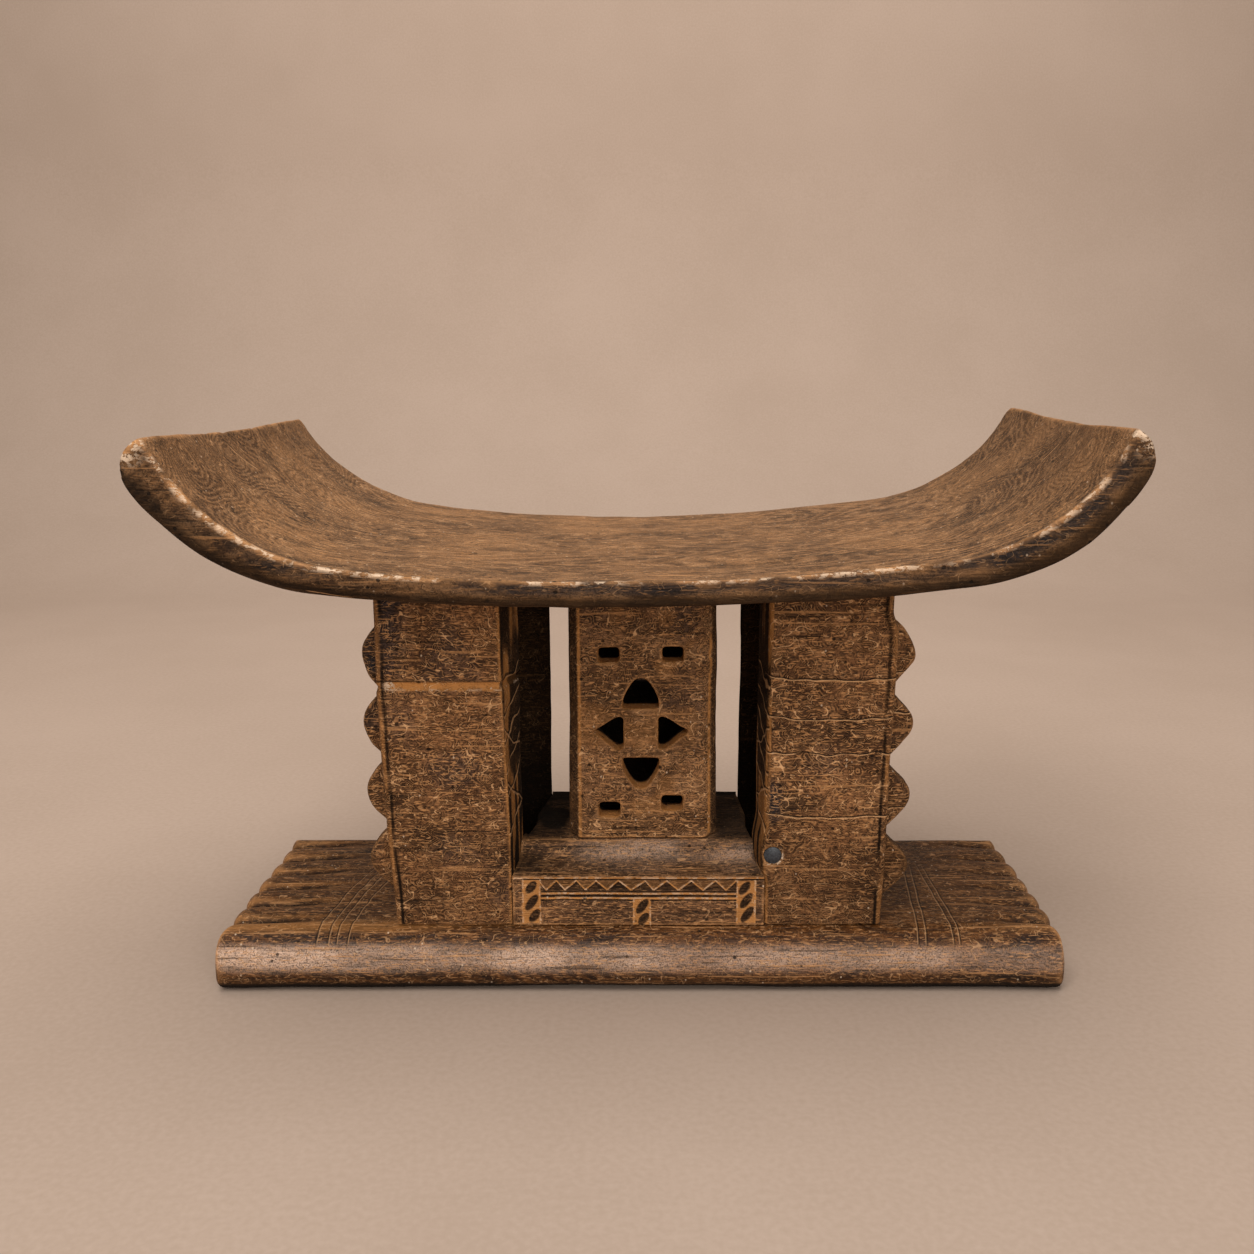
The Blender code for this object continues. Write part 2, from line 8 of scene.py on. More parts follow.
# %% Load the drawing model
import itertools
import math
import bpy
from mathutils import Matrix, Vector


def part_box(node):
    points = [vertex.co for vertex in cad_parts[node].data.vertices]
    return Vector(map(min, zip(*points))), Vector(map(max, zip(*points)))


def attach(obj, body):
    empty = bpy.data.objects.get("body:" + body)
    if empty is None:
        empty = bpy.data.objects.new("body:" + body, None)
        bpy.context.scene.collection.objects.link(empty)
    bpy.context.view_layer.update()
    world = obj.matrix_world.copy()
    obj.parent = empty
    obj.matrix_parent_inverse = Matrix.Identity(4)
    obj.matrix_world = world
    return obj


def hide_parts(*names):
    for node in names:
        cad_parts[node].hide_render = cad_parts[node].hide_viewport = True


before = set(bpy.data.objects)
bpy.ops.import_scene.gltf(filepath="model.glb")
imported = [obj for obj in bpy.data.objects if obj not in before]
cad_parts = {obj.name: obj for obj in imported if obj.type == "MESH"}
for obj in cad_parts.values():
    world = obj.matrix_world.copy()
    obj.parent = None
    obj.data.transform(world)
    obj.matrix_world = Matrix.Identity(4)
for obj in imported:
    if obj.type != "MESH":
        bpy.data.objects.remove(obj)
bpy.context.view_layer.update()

from types import SimpleNamespace

import bmesh
import bpy
import numpy as np
from mathutils import Matrix, Vector

print("members:", sorted(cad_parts))

# %% [markdown]
# ## The camera
#
# The camera stands level in front of the stool, a little above the seat, and looks down by
# about twelve degrees. It comes first, because every later choice is judged through it. The small
# shift moves the picture sideways without turning the camera.

# %% Place the camera
CAMERA_PLACE = (0.0047, -0.8185, 0.3974)
CAMERA_TILT = 11.89
PICTURE_WIDTH = 1254
SIDEWAYS_PIXELS = -20.9

lens = bpy.data.cameras.new("camera")
lens.lens = 35.0
lens.sensor_width = 36.0
lens.shift_x = SIDEWAYS_PIXELS / PICTURE_WIDTH
camera = bpy.data.objects.new("camera", lens)
camera.location = CAMERA_PLACE
camera.rotation_euler = (math.radians(90.0 - CAMERA_TILT), 0.0, 0.0)
bpy.context.scene.collection.objects.link(camera)
bpy.context.scene.camera = camera
bpy.context.scene.view_settings.view_transform = "Standard"
print("camera looks down by", CAMERA_TILT, "degrees")

# %% [markdown]
# ## Numbers for a whole surface at once
#
# A carved surface has about a hundred thousand points, so they are handled as one table of
# numbers. Smooth noise gives each point a repeatable random value, and a soft step turns a
# distance into a mask that runs from 0 to 1.

# %% Noise and soft steps
MM = 0.001


def ramp(low, high, values):
    """0 below low, 1 above high, and a smooth climb between them."""
    share = np.clip((values - low) / (high - low), 0.0, 1.0)
    return share * share * (3.0 - 2.0 * share)


def plateau(start, full, fade, end, values):
    """0 outside start and end, 1 from full to fade, and smooth slopes between them."""
    return ramp(start, full, values) * ramp(end, fade, values)


def corner_values(corner, seed):
    """A repeatable number from 0 to 1 for each corner of a lattice."""
    mixed = np.sin(corner @ np.array([12.9898, 78.233, 37.719]) + seed * 5.17) * 4375.85453
    return mixed - np.floor(mixed)


def noise(points, size, seed=0, stretch=(1.0, 1.0, 1.0)):
    """Smooth noise from -1 to 1 whose bumps are about size metres across."""
    scaled = points / (size * np.array(stretch))
    cell = np.floor(scaled)
    part = scaled - cell
    part = part * part * (3.0 - 2.0 * part)
    total = np.zeros(len(points))
    for corner in itertools.product((0.0, 1.0), repeat=3):
        weight = np.prod(np.where(corner, part, 1.0 - part), axis=1)
        total += weight * corner_values(cell + np.array(corner), seed)
    return 2.0 * total - 1.0


def round_arris(first, second, radius, other_radius=None):
    """New distances from two faces after the arris between them has been rounded off."""
    other_radius = radius if other_radius is None else other_radius
    a = np.clip(1 - first / radius, 0, 1)
    b = np.clip(1 - second / other_radius, 0, 1)
    outside = np.where((a > 0) & (b > 0), np.maximum(np.hypot(a, b), 1.0), 1.0)
    return (np.where(outside > 1, radius * (1 - a / outside), first),
            np.where(outside > 1, other_radius * (1 - b / outside), second))


# %% [markdown]
# ## A surface that knows its neighbours
#
# Wear shows on what stands proud, and what lies deep is darker. Both come from one measure:
# how far a point lies above the average of the points around it. The class below keeps a mesh's
# points, averages any value over the neighbours, and writes the results back as five attributes,
# which the wood finish reads. Wear is lighter wood on what stands proud, grime is dirt
# and painted shade, glow is bright orange wood and, on the cheeks of the column's piercing,
# painted light, pale is where the wood has chipped, and patina is a film of polish and
# stain and, in places, a painted highlight.

# %% Surface helper
MASKS = ("wear", "grime", "glow", "pale", "patina")
ROW_HEIGHT = 0.002


class Surface:
    """The points of a piece, with the averages over their neighbours."""

    def __init__(self, piece):
        self.mesh = piece.data
        self.points = self.read(self.mesh.vertices, "co", 3)
        self.edges = self.read(self.mesh.edges, "vertices", 2, np.int32)
        self.degree = np.bincount(self.edges.ravel(), minlength=len(self.points))

    def read(self, items, name, width, kind=np.float32):
        values = np.empty(len(items) * width, kind)
        items.foreach_get(name, values)
        return values.reshape(-1, width).astype(float if kind == np.float32 else int)

    def blurred(self, times):
        """The points, drawn halfway to the middle of their neighbours several times over."""
        first, second = self.edges.T
        axes = []
        for values in self.points.T:
            for _ in range(times):
                near = np.bincount(first, values[second], len(values))
                near += np.bincount(second, values[first], len(values))
                values = 0.5 * (values + near / self.degree)
            axes.append(values)
        return np.stack(axes, axis=1)

    def smooth(self, times, share=1.0):
        self.points += (self.blurred(times) - self.points) * np.reshape(share, (-1, 1))

    def normals(self):
        self.mesh.vertices.foreach_set("co", self.points.astype(np.float32).ravel())
        self.mesh.update()
        return self.read(self.mesh.vertex_normals, "vector", 3)

    def push(self, depth):
        """Move each point along its normal."""
        self.points += self.normals() * np.asarray(depth)[:, None]

    def uneven(self, *waves):
        """Push the surface in and out. A wave is (size, seed, stretch along X, depth)."""
        self.push(sum(noise(self.points, size, seed, (stretch, 1, 1)) * depth
                      for size, seed, stretch, depth in waves))

    def rise(self, times):
        """How far each point stands above its surroundings, in metres."""
        return np.sum((self.points - self.blurred(times)) * self.normals(), axis=1)

    def face_reach(self, facing):
        """Distance of each point from the left and the right edge of a face, row by row."""
        rows = np.round(self.points[:, 2] / ROW_HEIGHT).astype(int)
        rows -= rows.min()
        low, high = np.full(rows.max() + 1, np.inf), np.full(rows.max() + 1, -np.inf)
        np.minimum.at(low, rows[facing], self.points[facing, 0])
        np.maximum.at(high, rows[facing], self.points[facing, 0])
        return self.points[:, 0] - low[rows], high[rows] - self.points[:, 0]

    def keep(self, **masks):
        """Write the points and the masks to the mesh. A mask that isn't given stays empty."""
        self.normals()
        for name in MASKS:
            values = np.clip(masks.get(name, np.zeros(len(self.points))), 0, 1)
            attribute = self.mesh.attributes.new(name, "FLOAT", "POINT")
            attribute.data.foreach_set("value", values.astype(np.float32))
        self.mesh.shade_smooth()


# %% [markdown]
# ## Fine meshes
#
# The drawing model's faces are long and few, which is right for a drawing and wrong for carving.
# A Remesh modifier covers a copy with even small faces. Its triangles are merged first, because
# they are stored loose.

# %% Making pieces
def to_piece(bm, name):
    """Close the bmesh and put it in the scene as a piece."""
    mesh = bpy.data.meshes.new(name)
    bm.to_mesh(mesh)
    bm.free()
    piece = bpy.data.objects.new(name, mesh)
    bpy.context.scene.collection.objects.link(piece)
    return piece


def move_new(bm, pushed, shift):
    """Move the points that an extrusion has just made."""
    new = [item for item in pushed["geom"] if isinstance(item, bmesh.types.BMVert)]
    bmesh.ops.translate(bm, verts=new, vec=shift)


def thicken(bm, shift):
    """Draw flat faces out into a closed solid."""
    move_new(bm, bmesh.ops.extrude_face_region(bm, geom=bm.faces[:], use_keep_orig=True), shift)
    bmesh.ops.recalc_face_normals(bm, faces=bm.faces)


def fine_copy(node, cell):
    """A closed copy of a member with faces about cell metres across."""
    bm = bmesh.new()
    bm.from_mesh(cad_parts[node].data)
    bmesh.ops.remove_doubles(bm, verts=bm.verts, dist=0.00002)
    piece = to_piece(bm, "carved_" + node)
    remesh = piece.modifiers.new("even faces", "REMESH")
    remesh.mode = "VOXEL"
    remesh.voxel_size = cell
    ready = piece.evaluated_get(bpy.context.evaluated_depsgraph_get())
    piece.data = bpy.data.meshes.new_from_object(ready)
    piece.modifiers.clear()
    return piece


def settle(piece, node, material):
    """Finish a piece, let it stand for its member, and tell how big it became."""
    piece.data.materials.append(material)
    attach(piece, "root")
    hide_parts(node)
    corners = np.array([corner[:] for corner in piece.bound_box])
    faces = sum(len(face.vertices) - 2 for face in piece.data.polygons)
    size = (corners.max(0) - corners.min(0)) * 1000
    print(piece.name, "size in mm", size.round(1), "triangles", faces)


# %% [markdown]
# ## The wood finish
#
# One recipe serves every member but the plug. Shader sums are written as Python expressions: a
# small class wraps a socket, and each operator adds a Math node. The marks are what make this
# wood: a close maze of short squiggles, drawn by lines of equal height over hills of noise and
# broken up by a second noise.

# %% Shader sums
class Value:
    """A socket that can stand in a Python sum."""

    def __init__(self, tree, socket=None):
        self.tree, self.socket = tree, socket

    def add(self, kind, settings=None, inputs=None, out=0):
        """Add any node: its settings first, then the numbers or links of its sockets."""
        node = self.tree.nodes.new(kind)
        for name, setting in (settings or {}).items():
            setattr(node, name, setting)
        for name, value in (inputs or {}).items():
            if isinstance(value, Value):
                self.tree.links.new(value.socket, node.inputs[name])
            else:
                node.inputs[name].default_value = value
        return Value(self.tree, node.outputs[out]) if len(node.outputs) else node

    def math(self, operation, *others):
        return self.add("ShaderNodeMath", {"operation": operation},
                        dict(enumerate((self,) + others)))

    def __add__(self, other):
        return self.math("ADD", other)

    def __sub__(self, other):
        return self.math("SUBTRACT", other)

    def __rsub__(self, other):
        return self.add("ShaderNodeMath", {"operation": "SUBTRACT"}, {0: other, 1: self})

    def __mul__(self, other):
        return self.math("MULTIPLY", other)

    __radd__, __rmul__ = __add__, __mul__

    def step(self, low, high):
        """A soft step from 0 at low to 1 at high."""
        return self.add("ShaderNodeMapRange", {"interpolation_type": "SMOOTHSTEP"},
                        {"Value": self, "From Min": low, "From Max": high})

    def tint(self, under, over):
        """Mix two colours: this value says how much of the upper one shows."""
        under, over = (shade if isinstance(shade, Value) else (*shade, 1.0)
                       for shade in (under, over))
        return self.add("ShaderNodeMix", {"data_type": "RGBA"}, {0: self, 6: under, 7: over}, 2)

    def stretched(self, scale, turn=0.0):
        return self.add("ShaderNodeMapping", None,
                        {"Vector": self, "Scale": scale, "Rotation": (turn, 0.0, 0.0)})

    def drawn(self, share):
        """Marks come out drawn along X: the smaller the share, the longer they are."""
        return self.stretched((share, 1.0, 1.0))

    def noise(self, size, detail=2.0, rough=0.5):
        """Noise whose bumps are about size metres across."""
        return self.add("ShaderNodeTexNoise", None,
                        {"Vector": self, "Scale": 1.0 / size, "Detail": detail,
                         "Roughness": rough}, "Fac")

    def contours(self, size, pitch):
        """Lines of equal height over hills about size metres across, about pitch apart."""
        hills = self.noise(size, 0.6, 0.3)
        return (hills * (2 * math.pi * size / (0.6 * pitch))).math("SINE")

    def threads(self, size, half):
        """Thin winding lines, where a noise passes through its middle."""
        away = (self.noise(size, 0.0) - 0.5).math("ABSOLUTE")
        return away.step(1.3 * half / size, 0.4 * half / size)

    def dots(self, size):
        return self.add("ShaderNodeTexVoronoi", None,
                        {"Vector": self, "Scale": 1.0 / size}, "Distance")


# %% First and last nodes of a material
def new_material(name):
    """An empty material, a Value to start its nodes from, and the place on the piece."""
    material = bpy.data.materials.new(name)
    material.use_nodes = True
    material.node_tree.nodes.clear()
    start = Value(material.node_tree)
    return material, start, start.add("ShaderNodeTexCoord", out="Object")


def close_material(start, colour, rough, shine, **more):
    """The shader and the output of a material. More inputs, such as Normal, go in by name."""
    inputs = {"Base Color": colour, "Roughness": rough, "Specular IOR Level": shine, **more}
    shader = start.add("ShaderNodeBsdfPrincipled", None, inputs, "BSDF")
    start.add("ShaderNodeOutputMaterial", None, {"Surface": shader})


# %% [markdown]
# ## Layers of old wood
#
# The finish is built like paint. First come the shapes of all marks: broad tone, clouds, fine
# grain, stipple, the maze and its gaps, the larger loops of the growth rings, curls, dashes,
# hairs, pits and specks. Then each of them is laid over the ground colour as a thin coat, from the
# lowest to the topmost, and the same shapes make the relief.

# %% Shapes of the marks
BLACK = (0.006, 0.0032, 0.0014)
WORN = (0.540, 0.260, 0.100)
CURL = (0.720, 0.400, 0.190)
BRIGHT = (0.500, 0.215, 0.060)
CREAM = (0.680, 0.500, 0.350)


def mark_shapes(place, turned, maze, loops):
    """Where each kind of mark lies. Maze and loops are (size, pitch, stretch along X)."""
    shapes = SimpleNamespace()
    shapes.tone = place.noise(0.070, 2.0).step(0.35, 0.66)
    shapes.cloud = place.noise(0.013, 3.0, 0.6)
    shapes.grain = turned.drawn(0.07).noise(0.0016, 2.0, 0.6)
    shapes.stipple = place.noise(0.0009, 1.0)
    breaks = place.noise(0.0040, 1.0)
    size, pitch, stretch = maze
    waves = turned.drawn(stretch).contours(size, pitch)
    shapes.lines = waves.step(0.35, 0.95) * breaks.step(0.40, 0.54)
    shapes.gaps = waves.step(-0.10, -0.90) * breaks.step(0.34, 0.48)
    size, pitch, stretch = loops
    shapes.loops = turned.drawn(stretch).contours(size, pitch)
    round_curls = turned.threads(0.0044, 0.00010) * breaks.step(0.53, 0.57)
    long_curls = turned.drawn(0.45).threads(0.0058, 0.00011) * shapes.cloud.step(0.54, 0.58)
    shapes.curls = round_curls.math("MAXIMUM", long_curls)
    shapes.dashes = turned.drawn(0.18).noise(0.00088, 1.0)
    hairs = turned.drawn(0.035).noise(0.0024, 1.0)
    shapes.pale_hairs = hairs.step(0.66, 0.71)
    shapes.dark_hairs = hairs.step(0.33, 0.27)
    shapes.pits = place.dots(0.0085).step(0.17, 0.09) * place.noise(0.021, 1.0).step(0.50, 0.58)
    shapes.specks = place.stretched((1.1, 1.0, 0.9), 0.6).dots(0.0100).step(0.085, 0.045)
    shapes.smudges = turned.drawn(0.35).noise(0.020, 2.0).step(0.54, 0.70)
    shapes.chips = place.drawn(0.6).noise(0.0042, 4.0, 0.75).step(0.505, 0.535)
    return shapes


# %% Coats of colour
def coats_of_wood(shapes, mask, light, film_and_sheen, marks, figure, fibre):
    """The coats over the ground colour in their order: how much of each, and its colour."""
    # Where there is neither dirt nor painted shade.
    clean_and_unshaded = 1.0 - mask["grime"] * 0.96
    return [
        (shapes.cloud.step(0.42, 0.72) * 0.45, light),
        (shapes.loops.step(0.0, 0.9) * figure, light),
        (shapes.loops.step(-0.3, -0.95) * (0.8 * figure), BLACK),
        (shapes.smudges * 0.50, BLACK),
        # Polish and stain, and in places a painted highlight.
        (mask["patina"] * (0.70 + shapes.cloud * 0.5), film_and_sheen),
        (shapes.grain.step(0.52, 0.70) * 0.42, BLACK),
        (shapes.stipple.step(0.48, 0.64) * 0.58, BLACK),
        (shapes.gaps * (0.48 * marks), BLACK),
        (shapes.lines * (0.42 * marks), WORN),
        (shapes.dashes.step(0.42, 0.34) * (0.46 * fibre), BLACK),
        (shapes.dashes.step(0.60, 0.66) * (0.72 * fibre), WORN),
        (shapes.dark_hairs * 0.60, BLACK),
        (mask["wear"] * (0.25 + shapes.cloud.step(0.35, 0.62) * 0.60), WORN),
        (mask["glow"] * (0.62 + shapes.cloud * 0.5), BRIGHT),
        # Dirt, and painted shade.
        (mask["grime"] * 0.97, BLACK),
        (shapes.pale_hairs * clean_and_unshaded * 0.50, WORN),
        (shapes.curls * clean_and_unshaded * (0.60 * marks + 0.20), CURL),
        (shapes.pits * 0.85, BLACK),
        (shapes.specks * clean_and_unshaded * 0.70, CREAM),
    ]


# %% Wood recipe
def wood(name, shades, film_and_sheen, maze, loops, marks, figure, fibre, gloss, shine, lean=45.0,
         incised=None):
    """Old carved wood: dark, middle and light shade, polish and painted highlight, marks and their
    strengths.
    """
    material, start, place = new_material(name)
    mask = {key: start.add("ShaderNodeAttribute", {"attribute_name": key}, out="Fac")
            for key in MASKS}
    turned = place.stretched((1.0, 1.0, 1.0), math.radians(lean))
    shapes = mark_shapes(place, turned, maze, loops)
    dark, middle, light = shades
    colour = shapes.tone.tint(dark, middle)
    coats = coats_of_wood(shapes, mask, light, film_and_sheen, marks, figure, fibre)
    chipped = mask["pale"] * shapes.chips
    height = (shapes.lines * (0.55 * marks) - shapes.gaps * (0.45 * marks) + shapes.grain * -0.35
              + shapes.curls * 0.6 + shapes.pale_hairs * 0.25 - shapes.dark_hairs * 0.45
              - shapes.pits * 0.9 + shapes.cloud * 0.5 - shapes.stipple * 0.3
              + shapes.dashes * (0.7 * fibre) + chipped * 0.5)
    if incised:
        parts = [place.add("ShaderNodeSeparateXYZ", None, {0: place}, axis) for axis in "XYZ"]
        cuts, ridges = incised(*parts, place.noise(0.016, 1.0) - 0.5)
        coats += [(cuts * 0.80, BLACK), (ridges * 0.65, CURL)]
        height = height - cuts * 0.9 + ridges * 0.4
    for share, coat in coats + [(chipped, CREAM)]:
        colour = share.tint(colour, coat)
    bump = start.add("ShaderNodeBump", None,
                     {"Strength": 0.9, "Distance": 0.0006, "Height": height}, "Normal")
    rough = gloss + shapes.lines * 0.10 + shapes.grain.step(0.5, 0.7) * 0.12 + mask["grime"] * 0.4
    close_material(start, colour, rough, shine, Normal=bump)
    print("finish", name, "has", len(material.node_tree.nodes), "nodes")
    return material


# %% [markdown]
# ## Incised lines
#
# Some lines were cut with the point of a knife: strings round the front right post, which cross
# on the inner sides of both front posts, slanting lines on each wing of the base, and scratches
# on the seat. Each is the distance to a line, pushed about a little by noise and turned into a
# thin mask. The lines' places are in metres, and the scratches' ends in millimetres.

# %% The knife
BURR_PLACE = 0.0008


def sum_of_lines(lines):
    """Dark cuts with a bright burr beside each: (distance, share of cut, share of burr)."""
    cuts = ridges = 0.0
    for away, cut_share, ridge_share in lines:
        cut = away.math("ABSOLUTE").step(0.0006, 0.0003)
        ridge = (away + BURR_PLACE).math("ABSOLUTE").step(0.0006, 0.0002)
        cuts, ridges = cut * cut_share + cuts, ridge * ridge_share + ridges
    return cuts, ridges


# %% Strings round the front posts
STRING_HEIGHTS = (0.2074, 0.1814, 0.1577, 0.1162)
CROSSED_CORDS = ((0.2080, -0.40), (0.1900, -0.62), (0.1730, -0.70), (0.1660, 0.50),
                 (0.1560, -0.66), (0.1380, -0.55), (0.1290, 0.60), (0.1130, -0.40))


def strings(x, y, z, wobble):
    """Level lines on the right post's face, and slanting ones on both posts' inner sides."""
    bent = z + wobble * 0.006 + (x - 0.125) * (x - 0.125) * -0.8
    near = x.step(0.079, 0.082) * y.step(-0.040, -0.046)
    near_burr = near * wobble.step(-0.20, -0.08)
    beside = y.step(-0.0742, -0.0735) * y.step(-0.042, -0.048)
    beside = beside * x.math("ABSOLUTE").step(0.0895, 0.0880)
    beside_burr = beside * 0.75
    level = [(bent - height, near, near_burr) for height in STRING_HEIGHTS]
    crossed = [((z + (y + 0.06) * slope + wobble * 0.016 - height) * 0.50, beside, beside_burr)
               for height, slope in CROSSED_CORDS]
    return sum_of_lines(level + crossed)


# %% Lines on the wings of the base
LEFT_WING_LINES = (0.2114, 0.2042, 0.1987, 0.1913)
RIGHT_OUTER_LINES = (0.2085, 0.2045)
RIGHT_INNER_LINES = (0.1865, 0.1813)


def wing_lines(x, y, z, wobble):
    """Lines that slant over both wings, each from its foot near the front."""
    back = y + 0.085
    near = z.step(0.030, 0.034) * y.step(0.040, -0.010)
    cut_share, ridge_share = near * 0.8, near * 0.5
    sets = ((LEFT_WING_LINES, -1.0, back * (back * 1.2 + 0.03), 0.0030),
            (RIGHT_OUTER_LINES, 1.0, back * 0.018, 0.0012),
            (RIGHT_INNER_LINES, 1.0, back * -0.10, 0.0012))
    return sum_of_lines([(x * way - foot + slant + wobble * hand, cut_share, ridge_share)
                         for feet, way, slant, hand in sets for foot in feet])


# %% Scratches on the seat
SCRATCHES = ((-266, -31, -249, -15), (135, -10, 159, -55), (206, -125, 226, -123),
             (-195, -107, -174, -103), (-191, -72, -169, -58), (-188, -145, -160, -143),
             (119, -60, 141, -79), (-13, -54, 31, -60), (259, -21, 269, -31),
             (128, -20, 150, -34), (-110, -100, -75, -104), (60, -118, 96, -112))
SCRATCH_END = 0.004


def seat_scratches(x, y, z, wobble):
    """Short straight scratches on the seat's top, each from one point to another."""
    lines = []
    for x0, y0, x1, y1 in np.array(SCRATCHES) * MM:
        length = math.hypot(x1 - x0, y1 - y0)
        ux, uy = (x1 - x0) / length, (y1 - y0) / length
        along = (x - x0) * ux + (y - y0) * uy
        inside = along.step(0.0, SCRATCH_END) * along.step(length, length - SCRATCH_END)
        lines.append(((y - y0) * ux - (x - x0) * uy + wobble * 0.0015, inside * 0.5, inside))
    return sum_of_lines(lines)


# %% Finishes of the members
# Film colours: blue-black stain on the posts and column, used on the seat's front edge as a painted
# reflection; grey painted highlight on the base's roll and the plinth's ledge.
BLUE_BLACK = (0.026, 0.026, 0.031)
SHEEN_GREY = (0.640, 0.430, 0.310)
UPRIGHTS = {"lean": 12.0, "loops": (0.030, 0.0060, 0.50), "marks": 1.0, "figure": 0.08,
            "fibre": 1.0, "gloss": 0.64, "shine": 0.12}

post_wood = wood(
    "post_wood", ((0.085, 0.035, 0.013), (0.250, 0.108, 0.041), (0.440, 0.214, 0.090)),
    BLUE_BLACK, maze=(0.0068, 0.00098, 0.72), incised=strings, **UPRIGHTS)
column_wood = wood(
    "column_wood", ((0.108, 0.048, 0.019), (0.292, 0.134, 0.056), (0.480, 0.252, 0.118)),
    BLUE_BLACK, maze=(0.0066, 0.00096, 0.85), **UPRIGHTS)
plinth_wood = wood(
    "plinth_wood", ((0.060, 0.026, 0.010), (0.135, 0.060, 0.025), (0.250, 0.122, 0.056)),
    SHEEN_GREY, maze=(0.0110, 0.0013, 0.45), loops=(0.030, 0.0024, 0.20),
    marks=0.40, figure=0.40, fibre=0.9, gloss=0.58, shine=0.14)
base_wood = wood(
    "base_wood", ((0.030, 0.009, 0.002), (0.090, 0.030, 0.006), (0.200, 0.074, 0.017)),
    SHEEN_GREY, maze=(0.0100, 0.0012, 0.50), loops=(0.034, 0.0026, 0.20),
    marks=0.34, figure=0.40, fibre=0.72, gloss=0.48, shine=0.18, incised=wing_lines)
seat_wood = wood(
    "seat_wood", ((0.092, 0.041, 0.016), (0.262, 0.123, 0.047), (0.455, 0.240, 0.110)),
    BLUE_BLACK, maze=(0.0120, 0.0016, 0.40), loops=(0.050, 0.0026, 0.24),
    marks=0.30, figure=0.36, fibre=0.55, gloss=0.50, shine=0.14, incised=seat_scratches)

# %% [markdown]
# ## The seat
#
# The real seat is a board hollowed in one long curve, thicker at its ends, with a thick front
# edge whose upper arris is worn pale. Its section is worked out from two arcs that meet without a
# kink, as a carver's template would be. A flat grid takes the shape of that section, is pushed
# back to the depth of the seat and cut across, so that every face is small enough to carve.

# %% Lines of the seat's section
SEAT_REACH = 0.283
SEAT_HALF_DEPTH = 0.150
SEAT_MIDDLE = 0.283
SEAT_RISE = 0.082
SEAT_THICKNESS = 0.0155
SEAT_TIP_RADIUS = 0.021
LINE_POINTS = 400
TOP_SLOPES = (7.45, 64.0)
UNDER_SLOPES = (6.25, 56.0)
TIP_SHARE = 0.36


def two_arcs(reach, rise, slopes):
    """A curve that leaves level, bends gently and then sharply up to (reach, rise)."""
    gentle, steep = (math.radians(angle) for angle in slopes)
    run_1, run_2 = math.sin(gentle), math.sin(steep) - math.sin(gentle)
    lift_1, lift_2 = 1 - math.cos(gentle), math.cos(gentle) - math.cos(steep)
    span = run_1 * lift_2 - run_2 * lift_1
    radius_1 = (reach * lift_2 - rise * run_2) / span
    radius_2 = (rise * run_1 - reach * lift_1) / span
    angles = np.linspace(0.0, gentle, 60)
    first = radius_1 * np.stack([np.sin(angles), 1 - np.cos(angles)], axis=1)
    angles = np.linspace(gentle, steep, 120)[1:]
    second = radius_2 * np.stack([np.sin(angles) - run_1, math.cos(gentle) - np.cos(angles)], 1)
    return np.concatenate([first, first[-1] + second])


def walk(points, shares):
    """Points at given shares of the length of a line."""
    lengths = np.cumsum(np.r_[0.0, np.linalg.norm(np.diff(points, axis=0), axis=1)])
    along = shares * lengths[-1]
    return np.stack([np.interp(along, lengths, axis) for axis in points.T], axis=1)


def round_tip(first, last, count=30):
    angles = np.linspace(first, last, count)
    centre_z = SEAT_RISE - SEAT_TIP_RADIUS * math.sin(math.radians(TOP_SLOPES[1]))
    centre = np.array([SEAT_REACH - SEAT_TIP_RADIUS, centre_z])
    return centre + SEAT_TIP_RADIUS * np.stack([np.cos(angles), np.sin(angles)], axis=1)


# %% Whole section of the seat
def seat_section(across, up):
    """Place of a grid point: across runs from -1 to 1 along the seat, up through it."""
    low, high = math.radians(UNDER_SLOPES[1] - 90.0), math.radians(TOP_SLOPES[1])
    low_mid, high_mid = low + (high - low) * TIP_SHARE, high - (high - low) * TIP_SHARE
    tip = round_tip(low, high)
    top = two_arcs(tip[-1][0], SEAT_RISE, TOP_SLOPES)
    under = two_arcs(tip[0][0], tip[0][1] + SEAT_THICKNESS, UNDER_SLOPES)
    under[:, 1] -= SEAT_THICKNESS
    share = np.abs(across)
    upper = walk(np.concatenate([top, round_tip(high, high_mid)[1:]]), share)
    lower = walk(np.concatenate([under, round_tip(low, low_mid)[1:]]), share)
    middle = (up + 1.0)[:, None] / 2.0
    place = lower + (upper - lower) * middle
    ends = round_tip(low_mid, high_mid, 60)
    arc = np.stack([np.interp(middle[:, 0], np.linspace(0, 1, 60), axis) for axis in ends.T], 1)
    chord = ends[0] + (ends[-1] - ends[0]) * middle
    place += (arc - chord) * (share ** 24)[:, None]
    place[:, 0] *= np.where(across < 0, -1.0, 1.0)
    return place


# %% Grid of the seat
SEAT_COLUMNS = 380
SEAT_ROWS = 10
SEAT_CUTS = 105

bm = bmesh.new()
bmesh.ops.create_grid(bm, x_segments=SEAT_COLUMNS, y_segments=SEAT_ROWS, size=1.0)
grid = np.array([vert.co[:] for vert in bm.verts])
for vert, (x, z) in zip(bm.verts, seat_section(grid[:, 0], grid[:, 1])):
    vert.co = (x, -SEAT_HALF_DEPTH, z + SEAT_MIDDLE)
thicken(bm, (0, 2 * SEAT_HALF_DEPTH, 0))
across = [edge for edge in bm.edges if edge.calc_length() > SEAT_HALF_DEPTH]
bmesh.ops.subdivide_edges(bm, edges=across, cuts=SEAT_CUTS, use_grid_fill=True)
seat = to_piece(bm, "carved_seat")
print("seat grid has", len(seat.data.vertices), "points")

# %% [markdown]
# ## Hand-made differences of the seat
#
# A hand-carved seat is never quite even. This one is a few millimetres lower on its left half,
# its far edge leans to the right, and its ends sag a little in the middle. The tables give these
# differences in millimetres along the length of the seat, for the near and for the far edge, and
# the radius to which the front edge is rounded underneath.

